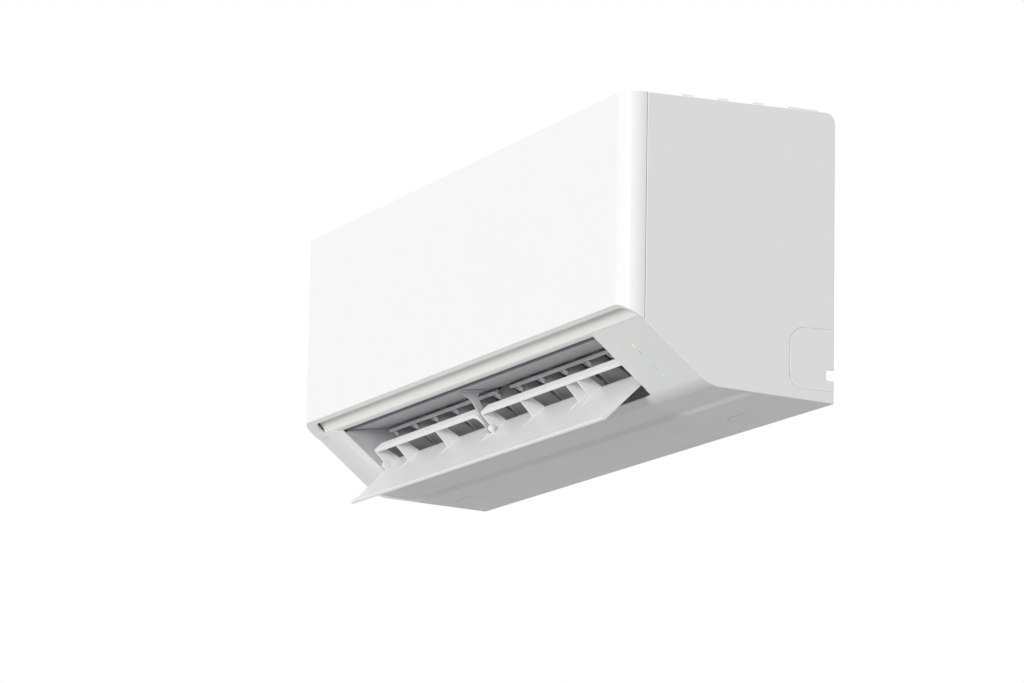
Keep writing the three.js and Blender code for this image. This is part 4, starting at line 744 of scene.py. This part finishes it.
flapShape = {"pivot": (32, 7.1), "turn": 84, "left": -364, "right": 313, "rear": 19.6, "front": 60,
             "wall": 2.6, "tip": 3.8, "rampStart": 9, "rampEnd": 5, "tipEdge": 0.9, "rearEdge": 0.7,
             "middle": (-73, -61), "eye": 4.2, "eyeLength": 3, "eyeSoft": 0.5, "pin": 2.2,
             "pins": ((-368.9, -363), (312, 325.9), (-69.5, -56)), "pinSoft": 0.4}
barShape = {"bottom": 17.2, "top": 21.8, "back": -13, "front": -1, "leg": 2.2, "corners": ((3, 13), (5, 10)),
            "skin": 2, "leastCorner": 1.5, "root": 1, "past": 3, "soft": 0.6}
lineShape = {"count": 6, "start": 1.5, "pitch": 1.6, "width": 0.7, "rise": 0.3, "end": 1, "soft": 0.15}
ribShape = {"places": (-304, -190, 41, 157, 185), "wall": 1.6, "rear": 1, "front": 24, "root": 0.4, "into": 1,
            "back": 0.6, "run": 0.4, "toeHeight": 1.2, "toe": 1.5, "endDrop": 1.55, "lean": 6.6,
            "leanStart": 0.5, "soft": 0.3}
flapPlace = (unitPlace @ Matrix.Translation(spot(0, *onSlope(*flapShape["pivot"])))
             @ Matrix.Rotation(math.radians(flapShape["turn"]) - slopeAngle, 4, "X"))


def makeBlade(outer, inner):
    size = flapShape
    front, ramp = size["front"], size["front"] - size["rampEnd"]
    blade = startBox("flapBlade", size["left"], size["right"], -size["rear"], front, outer, inner)
    pick(blade, "FACE", lambda middle, way: way.z > 0.9)  # the thicker tip and the ramp up to it
    bpy.ops.mesh.bisect(plane_co=spot(0, front - size["rampStart"], 0), plane_no=(0, 1, 0))
    creasePiece(blade, ramp)
    pick(blade, "VERT", lambda middle, way: middle.z > inner - tight and middle.y > ramp - near)
    bpy.ops.transform.translate(value=spot(0, 0, size["tip"] - size["wall"]))
    roundEdges(blade, size["tipEdge"], 3, lambda middle, way: runs(way, "x") and middle.y > front - tight)
    roundEdges(blade, size["rearEdge"], 3,
               lambda middle, way: runs(way, "x") and middle.y < tight - size["rear"])
    return blade


def roundTop(piece, x, radius, segments):  # the upper corner at x, as seen from the front
    roundEdges(piece, radius, segments, lambda middle, way: runs(way, "y") and abs(middle.x - x) < near
               and middle.z > barShape["bottom"] - near)


def makeBar(start, end, startCorner, endCorner, inner):
    size, fine = barShape, lineShape
    bar = startBox("bar", start, end, size["back"], size["front"], inner - size["root"], size["top"])
    gap = startBox("gap", start + size["leg"], end - size["leg"], size["back"] - size["past"],
                   size["front"] + size["past"], inner - size["past"], size["bottom"])
    for piece, inset, thinner in ((bar, 0, 0), (gap, size["leg"], size["skin"])):
        roundTop(piece, start + inset, max(startCorner - thinner, size["leastCorner"]), 8)
        roundTop(piece, end - inset, max(endCorner - thinner, size["leastCorner"]), 12)
    cutAway(bar, gap)
    softenEdges(bar, size["soft"], 3, 50)
    low = size["back"] + fine["start"]
    line = startBox("line", start + startCorner + fine["end"], end - endCorner - fine["end"], low,
                    low + fine["width"], size["top"] - fine["rise"], size["top"] + fine["rise"])
    softenEdges(line, fine["soft"])
    lines = [copied(line, "line", (0, fine["pitch"] * i, 0)) for i in range(1, fine["count"])]
    return [bar, line, *lines]


def makeRib(inner):  # a web under the bar whose foot runs out along the blade
    size = ribShape
    half, top = size["wall"] / 2, barShape["bottom"] + size["into"]
    heel = barShape["front"] - size["back"]
    toe, toeTop = heel + size["run"], inner + size["toeHeight"]
    rib = startBox("rib", -half, half, size["rear"] - flapShape["rear"], size["front"],
                   inner - size["root"], top)
    creasePiece(rib, heel)
    creasePiece(rib, toe)
    pick(rib, "VERT", lambda middle, way: middle.z > inner and middle.y > toe - size["run"] / 2)
    bpy.ops.transform.translate(value=spot(0, 0, toeTop - top))
    roundEdges(rib, size["toe"], 6, lambda middle, way: runs(way, "x") and abs(middle.y - toe) < tight
               and abs(middle.z - toeTop) < tight)
    pick(rib, "VERT", lambda middle, way: middle.z > inner and middle.y > size["front"] - tight)
    bpy.ops.transform.translate(value=spot(0, 0, -size["endDrop"]))
    slicePiece(rib, (0, barShape["back"] + size["leanStart"], top), (0, inner - top, size["lean"]))
    softenEdges(rib, size["soft"])
    return rib


def makeFlap():
    size = flapShape
    outer = -size["pivot"][1]
    inner = outer + size["wall"]
    left, right, half, eyeLength = size["left"], size["right"], ribShape["wall"] / 2, size["eyeLength"]
    leftEnd, rightStart = size["middle"]
    pieces = [makeBlade(outer, inner)]
    for ends, corners in zip(((left, leftEnd), (rightStart, right)), barShape["corners"]):
        pieces += makeBar(*ends, *corners, inner)
    rib = makeRib(inner)
    for x in ribShape["places"] + (left + half, leftEnd - half, rightStart + half, right - half):
        pieces.append(copied(rib, "rib", (x, 0, 0)))
    bpy.data.objects.remove(rib)
    for start in (left, right - eyeLength, rightStart):
        eye = startRod("eye", size["eye"], (start, 0, 0), (start + eyeLength, 0, 0), 40)
        softenEdges(eye, size["eyeSoft"])
        pieces.append(eye)
    for start, end in size["pins"]:
        pin = startRod("pin", size["pin"], (start, 0, 0), (end, 0, 0), 32)
        softenEdges(pin, size["pinSoft"])
        pieces.append(pin)
    finishPiece(weld("louvreFlap", *pieces), flapPlace, "flap", "flap_white", "flap")


makeFlap()
print("stage: flap")

fanShape = {"depth": 112, "height": 132, "scroll": 57.5}
floorAlong = ((fanShape["depth"] - casing["foot"]) * math.cos(slopeAngle)
              + (fanShape["height"] - footHeight) * math.sin(slopeAngle) - fanShape["scroll"])
vaneShape = {"count": 12, "middle": -25.5, "pitch": 58, "wall": 1.5, "foot": floorAlong + 1.2, "length": 47,
             "pivot": 51, "upstream": 8, "downstream": 16, "taper": 5, "rake": 4, "corner": 3, "soft": 0.3,
             "notchHalf": 3, "notchDrop": 13, "notchReach": 2, "notchStretch": (1, 0.7, 1.5),
             "beadHalf": 1.2, "beadStart": 4, "beadEnd": 18, "beadLow": 3.4, "beadHigh": 5, "beadSoft": 0.6,
             "linkArm": 13, "linkPin": 1.2, "linkRoot": 4, "linkEnd": 3.3, "bossWall": 1.3, "bossLength": 6,
             "bossSoft": 0.4, "pin": 1.5, "pinRoot": 6, "pinReach": 2.9, "motorReach": 10.5}
vanePlaces = [vaneShape["middle"] + vaneShape["pitch"] * (i - (vaneShape["count"] - 1) / 2)
              for i in range(vaneShape["count"])]
vaneTop = vaneShape["foot"] + vaneShape["length"]
linkPlace = vaneShape["pivot"] - vaneShape["linkArm"]


def makeVanes():
    size = vaneShape
    foot, top = size["foot"], vaneTop
    low, high = size["pivot"] - size["downstream"], size["pivot"] + size["upstream"]
    half, lean, beadEnd = size["wall"] / 2, math.atan2(size["rake"], size["length"]), top - size["beadEnd"]
    blade = startBox("vane", -half, half, foot, top, low, high)
    slicePiece(blade, (0, top, high - size["taper"]), (0, size["taper"], size["length"]))
    slicePiece(blade, (0, top, low), (0, -size["rake"], -size["length"]))
    roundEdges(blade, size["corner"], 8, lambda middle, way: runs(way, "x"))
    place, reach = top - size["notchDrop"], size["notchReach"]
    notch = startBox("notch", -size["notchHalf"], size["notchHalf"], place - reach, place + reach,
                     low - reach, low + reach)
    pickAll(notch)
    turned = spot(0, place, low)
    bpy.ops.transform.rotate(value=math.radians(45), orient_axis="X", center_override=turned)
    bpy.ops.transform.resize(value=size["notchStretch"], center_override=turned)
    cutAway(blade, notch)
    softenEdges(blade, size["soft"])
    bead = startBox("bead", -size["beadHalf"], size["beadHalf"], foot + size["beadStart"], beadEnd,
                    low + size["beadLow"], low + size["beadHigh"])
    pickAll(bead)
    bpy.ops.transform.rotate(value=lean, orient_axis="X",
                             center_override=spot(0, beadEnd, low + size["rake"]))
    softenEdges(bead, size["beadSoft"], 3)
    boss = startRod("boss", size["linkPin"] + size["bossWall"], (0, top - size["bossLength"], linkPlace),
                    (0, top, linkPlace), 24)
    softenEdges(boss, size["bossSoft"])
    link = startRod("link", size["linkPin"], (0, top - size["linkRoot"], linkPlace),
                    (0, top + size["linkEnd"], linkPlace), 20)
    softenEdges(link, size["soft"])
    for i, x in enumerate(vanePlaces):
        reach = size["motorReach"] if i in (0, size["count"] - 1) else size["pinReach"]
        pin = startRod("pin", size["pin"], (x, floorAlong - reach, size["pivot"]),
                       (x, foot + size["pinRoot"], size["pivot"]), 20)
        softenEdges(pin, size["soft"])
        parts = [copied(part, part.name + str(i), (x, 0, 0)) for part in (blade, bead, boss, link)]
        vane = weld(f"vane{i + 1}", *parts, pin)
        finishPiece(vane, ductPlace, f"vane_{i + 1}", "vane_grey", f"vane_{i + 1}")
    for part in (blade, bead, boss, link):
        bpy.data.objects.remove(part)


linkShape = {"gap": 0.3, "wall": 2.4, "half": 3, "tab": 8, "startRoom": 3, "endRoom": 12, "end": 5,
             "corner": 2.6, "play": 0.4, "cutPast": 2, "soft": 0.35, "legWall": 1.6, "legLength": 9,
             "legTop": 0.2, "legShare": 0.45, "legSoft": 0.4, "legRoom": 0.4,
             "braceRun": 6, "braceInto": 1, "braceFoot": 0.2, "braceRise": 1.8, "braceLow": 0.2,
             "braceHigh": 1.6, "braceCut": (-1, 1.6, 0), "railIn": 3, "railRoot": 0.4, "railRise": 1.4,
             "railLow": 0.3, "railHigh": 1.5}


def makeLinkBars():
    size = linkShape
    bottom = vaneTop + size["gap"]
    top = bottom + size["wall"]
    low, high = linkPlace - size["half"], linkPlace + size["half"]
    past, hole = size["cutPast"], vaneShape["linkPin"] + size["play"]
    legStart = -size["tab"] - size["legWall"]
    leg = startBox("leg", legStart, legStart + size["legWall"], bottom - size["legLength"],
                   top - size["legTop"], low, high)
    pick(leg, "VERT", lambda middle, way: middle.y < bottom - size["legLength"] + near)
    bpy.ops.transform.resize(value=(1, 1, size["legShare"]), center_override=spot(legStart, bottom, high))
    softenEdges(leg, size["legSoft"])
    braceStart = legStart - size["braceRun"]
    brace = startBox("brace", braceStart, legStart + size["braceInto"], bottom + size["braceFoot"],
                     top + size["braceRise"], low + size["braceLow"], low + size["braceHigh"])
    slicePiece(brace, (braceStart, top, low), size["braceCut"])
    softenEdges(brace, size["soft"])
    half = vaneShape["count"] // 2
    for side, places in (("left", vanePlaces[:half]), ("right", vanePlaces[half:])):
        start = max(places[0] - size["tab"] - size["startRoom"], outletShape["left"] + size["endRoom"])
        end = places[-1] + size["end"]
        bar = startBox("bar", start, end, bottom, top, low, high)
        roundEdges(bar, size["corner"], 6, lambda middle, way: runs(way, "y"))
        holes = [startRod("hole", hole, (x, bottom - past, linkPlace), (x, top + past, linkPlace), 20)
                 for x in places]
        cutAway(bar, *holes)
        softenEdges(bar, size["soft"])
        pieces = [bar]
        for x in places:
            if x + legStart - size["legRoom"] >= start:
                pieces += [copied(leg, "leg", (x, 0, 0)), copied(brace, "brace", (x, 0, 0))]
        rail = startBox("rail", start + size["railIn"], end - size["railIn"], top - size["railRoot"],
                        top + size["railRise"], low + size["railLow"], low + size["railHigh"])
        softenEdges(rail, size["legSoft"])
        whole = weld("linkBar" + side.title(), *pieces, rail)
        finishPiece(whole, ductPlace, "link_bar_" + side, "vane_grey", "link_bar_" + side)
    for part in (leg, brace):
        bpy.data.objects.remove(part)


makeVanes()
makeLinkBars()
print("stage: vanes")

screwShape = {"radius": 3.6, "head": 1.9, "dome": 1.2, "cross": ((0.45, 1.9), (1.9, 0.45)), "crossDeep": 1.1,
              "crossPast": 1, "edge": 0.1, "shank": 1.7, "shankInto": 1.5, "soft": 0.3}
nutShape = {"pipes": (("liquid", 3.2), ("gas", 4.8)), "share": 0.99, "dome": 1.1, "play": 0.3, "past": 2,
            "edge": 0.2}


def middleOf(node):  # x, depth and height of a CAD node's middle, and its size along each
    low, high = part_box(node)
    middle, size = [(a + b) / 2 / mm for a, b in zip(low, high)], [(b - a) / mm for a, b in zip(low, high)]
    return middle[0], -middle[1], middle[2] + casing["middle"], size


def makeCoverScrews():
    size = screwShape
    for i in range(1, 5):
        x, depth, height, extent = middleOf(f"cover_screw_{i}")
        front, back = depth + extent[1] / 2, depth - extent[1] / 2
        head = startRod("head", size["radius"], (x, front - size["head"], height), (x, front, height), 40)
        roundEdges(head, size["dome"], 5,
                   lambda middle, way: middle.y > front - 0.01 and abs(way.y) < tight)
        cross = [startBox("cross", x - wide, x + wide, front - size["crossDeep"], front + size["crossPast"],
                          height - tall, height + tall) for wide, tall in size["cross"]]
        cutAway(head, *cross)
        softenEdges(head, size["edge"], 2, 50)
        shank = startRod("shank", size["shank"], (x, back, height),
                         (x, front - size["shankInto"], height), 24)
        softenEdges(shank, size["soft"])
        screw = weld(f"coverScrew{i}", head, shank)
        finishPiece(screw, unitPlace, "casing", "galvanised", f"cover_screw_{i}")


def makeFlareNuts():
    size = nutShape
    for kind, pipe in size["pipes"]:
        x, depth, height, extent = middleOf(f"{kind}_flare_nut")
        radius, bottom, top = extent[1] / 2, height - extent[2] / 2, height + extent[2] / 2
        nut = startRod(kind + "FlareNut", radius, (x, depth, bottom), (x, depth, top), 6)
        blank = startRod("blank", radius * size["share"], (x, depth, bottom), (x, depth, top), 72)
        roundEdges(blank, size["dome"], 4, lambda middle, way: abs(way.z) < tight)
        combine(nut, "INTERSECT", blank)
        cutAway(nut, startRod("bore", pipe + size["play"], (x, depth, bottom - size["past"]),
                              (x, depth, top + size["past"]), 40))
        softenEdges(nut, size["edge"], 2, 30)
        finishPiece(nut, unitPlace, "casing", "brass", f"{kind}_flare_nut")


makeCoverScrews()
makeFlareNuts()

softCopies = {  # node: width of its soft edges and the angle from which an edge is soft
    "rear_chassis": (0.35, 35), "top_grille": (0.5, 35), "drain_pan": (0.4, 35),
    "inner_front_frame": (0.3, 35), "wall_plate": (0.25, 40), "filter_left": (0.25, 40),
    "filter_right": (0.25, 40), "auto_button": (0.5, 40), "coil_front_lower": (0.4, 40),
    "coil_front_upper": (0.4, 40), "coil_rear": (0.4, 40), "tube_sheet_left": (0.2, 50),
    "tube_sheet_right": (0.2, 50), "liquid_pipe": (0, 50), "gas_pipe": (0, 50), "pipe_clamp": (0.5, 45),
    "control_box": (0.5, 40), "control_box_cover": (0.5, 40), "circuit_board": (0.2, 40),
    "terminal_block": (0.4, 40), "display_board": (0.2, 40), "motor_bracket": (0.3, 40),
    "fan_motor": (0.6, 45), "fan_bush": (0.3, 45), "fan_bearing": (0.3, 45), "motor_shaft": (0.3, 45),
    "flap_support_arm": (0.4, 45), "flap_motor": (0.4, 45), "vane_motor_left": (0.4, 45),
    "vane_motor_right": (0.4, 45), "cross_flow_fan": (0, 35),
}
slotOf = {part["node"]: part["material_slot"] for part in frame["record"]["subparts"]}
bodyOf = {node: body for body, nodes in frame["record"]["behaviour"]["bodies"].items() for node in nodes}


copyShape = {"merged": 0.004, "flat": 0.5, "smooth": 35, "crisp": 15}


def smoothedCopy(name, node, width, angle):  # a CAD node's own shape with soft edges
    size = copyShape
    focus(frame["nodes"][node])
    bpy.ops.object.duplicate(linked=False)
    piece = named(name)
    pickAll(piece, "VERT")
    bpy.ops.mesh.remove_doubles(threshold=size["merged"] * mm)
    pickAll(piece)
    bpy.ops.mesh.dissolve_limited(angle_limit=math.radians(size["flat"]))
    if width:
        softenEdges(piece, width, 2, angle)
    turn = size["crisp" if node == "rear_chassis" else "smooth"]  # a low step on its underside stays crisp
    finishPiece(piece, Matrix.Identity(4), bodyOf[node], slotOf[node], node, smooth=turn)


for node, (width, angle) in softCopies.items():
    first, *others = node.split("_")
    smoothedCopy(first + "".join(word.title() for word in others), node, width, angle)

ductFaces = {"wallPlay": 0.4, "wallTurn": 0.3, "floorPlay": 1.6, "floorTurn": 0.2, "endPlay": 0.5,
             "scroll": 64}


def insideDuct(middle, way):  # the duct's side walls, its floor and the scroll round the fan
    size, left, right = ductFaces, outletShape["left"], outletShape["right"]
    depth, height = middle.y - casing["foot"], middle.z + casing["middle"] - footHeight
    along = depth * math.cos(slopeAngle) + height * math.sin(slopeAngle)
    fromFan = Vector((0, middle.y - fanShape["depth"], middle.z + casing["middle"] - fanShape["height"]))
    onWall = (abs(middle.x - left) < size["wallPlay"] and way.x > size["wallTurn"]
              or abs(middle.x - right) < size["wallPlay"] and way.x < -size["wallTurn"])
    onFloor = abs(along - floorAlong) < size["floorPlay"] and way.y > size["floorTurn"]
    roundFan = fromFan.length < size["scroll"] and fromFan.dot(way) < 0
    return (left - size["endPlay"] < middle.x < right + size["endPlay"]
            and (onWall or onFloor or roundFan))


def paintFaces(name, finish, test):  # a second finish on the faces that the test takes
    piece = bpy.data.objects[name]
    focus(piece)
    piece.data.materials.append(finishes[finish])
    pick(piece, "FACE", test)
    piece.active_material_index = len(piece.data.materials) - 1
    bpy.ops.object.material_slot_assign()
    focus(piece)


paintFaces("rearChassis", "duct_grey", insideDuct)
bpy.data.objects["flapSupportArm"].data.materials[0] = finishes["vane_grey"]
print("stage: inside")
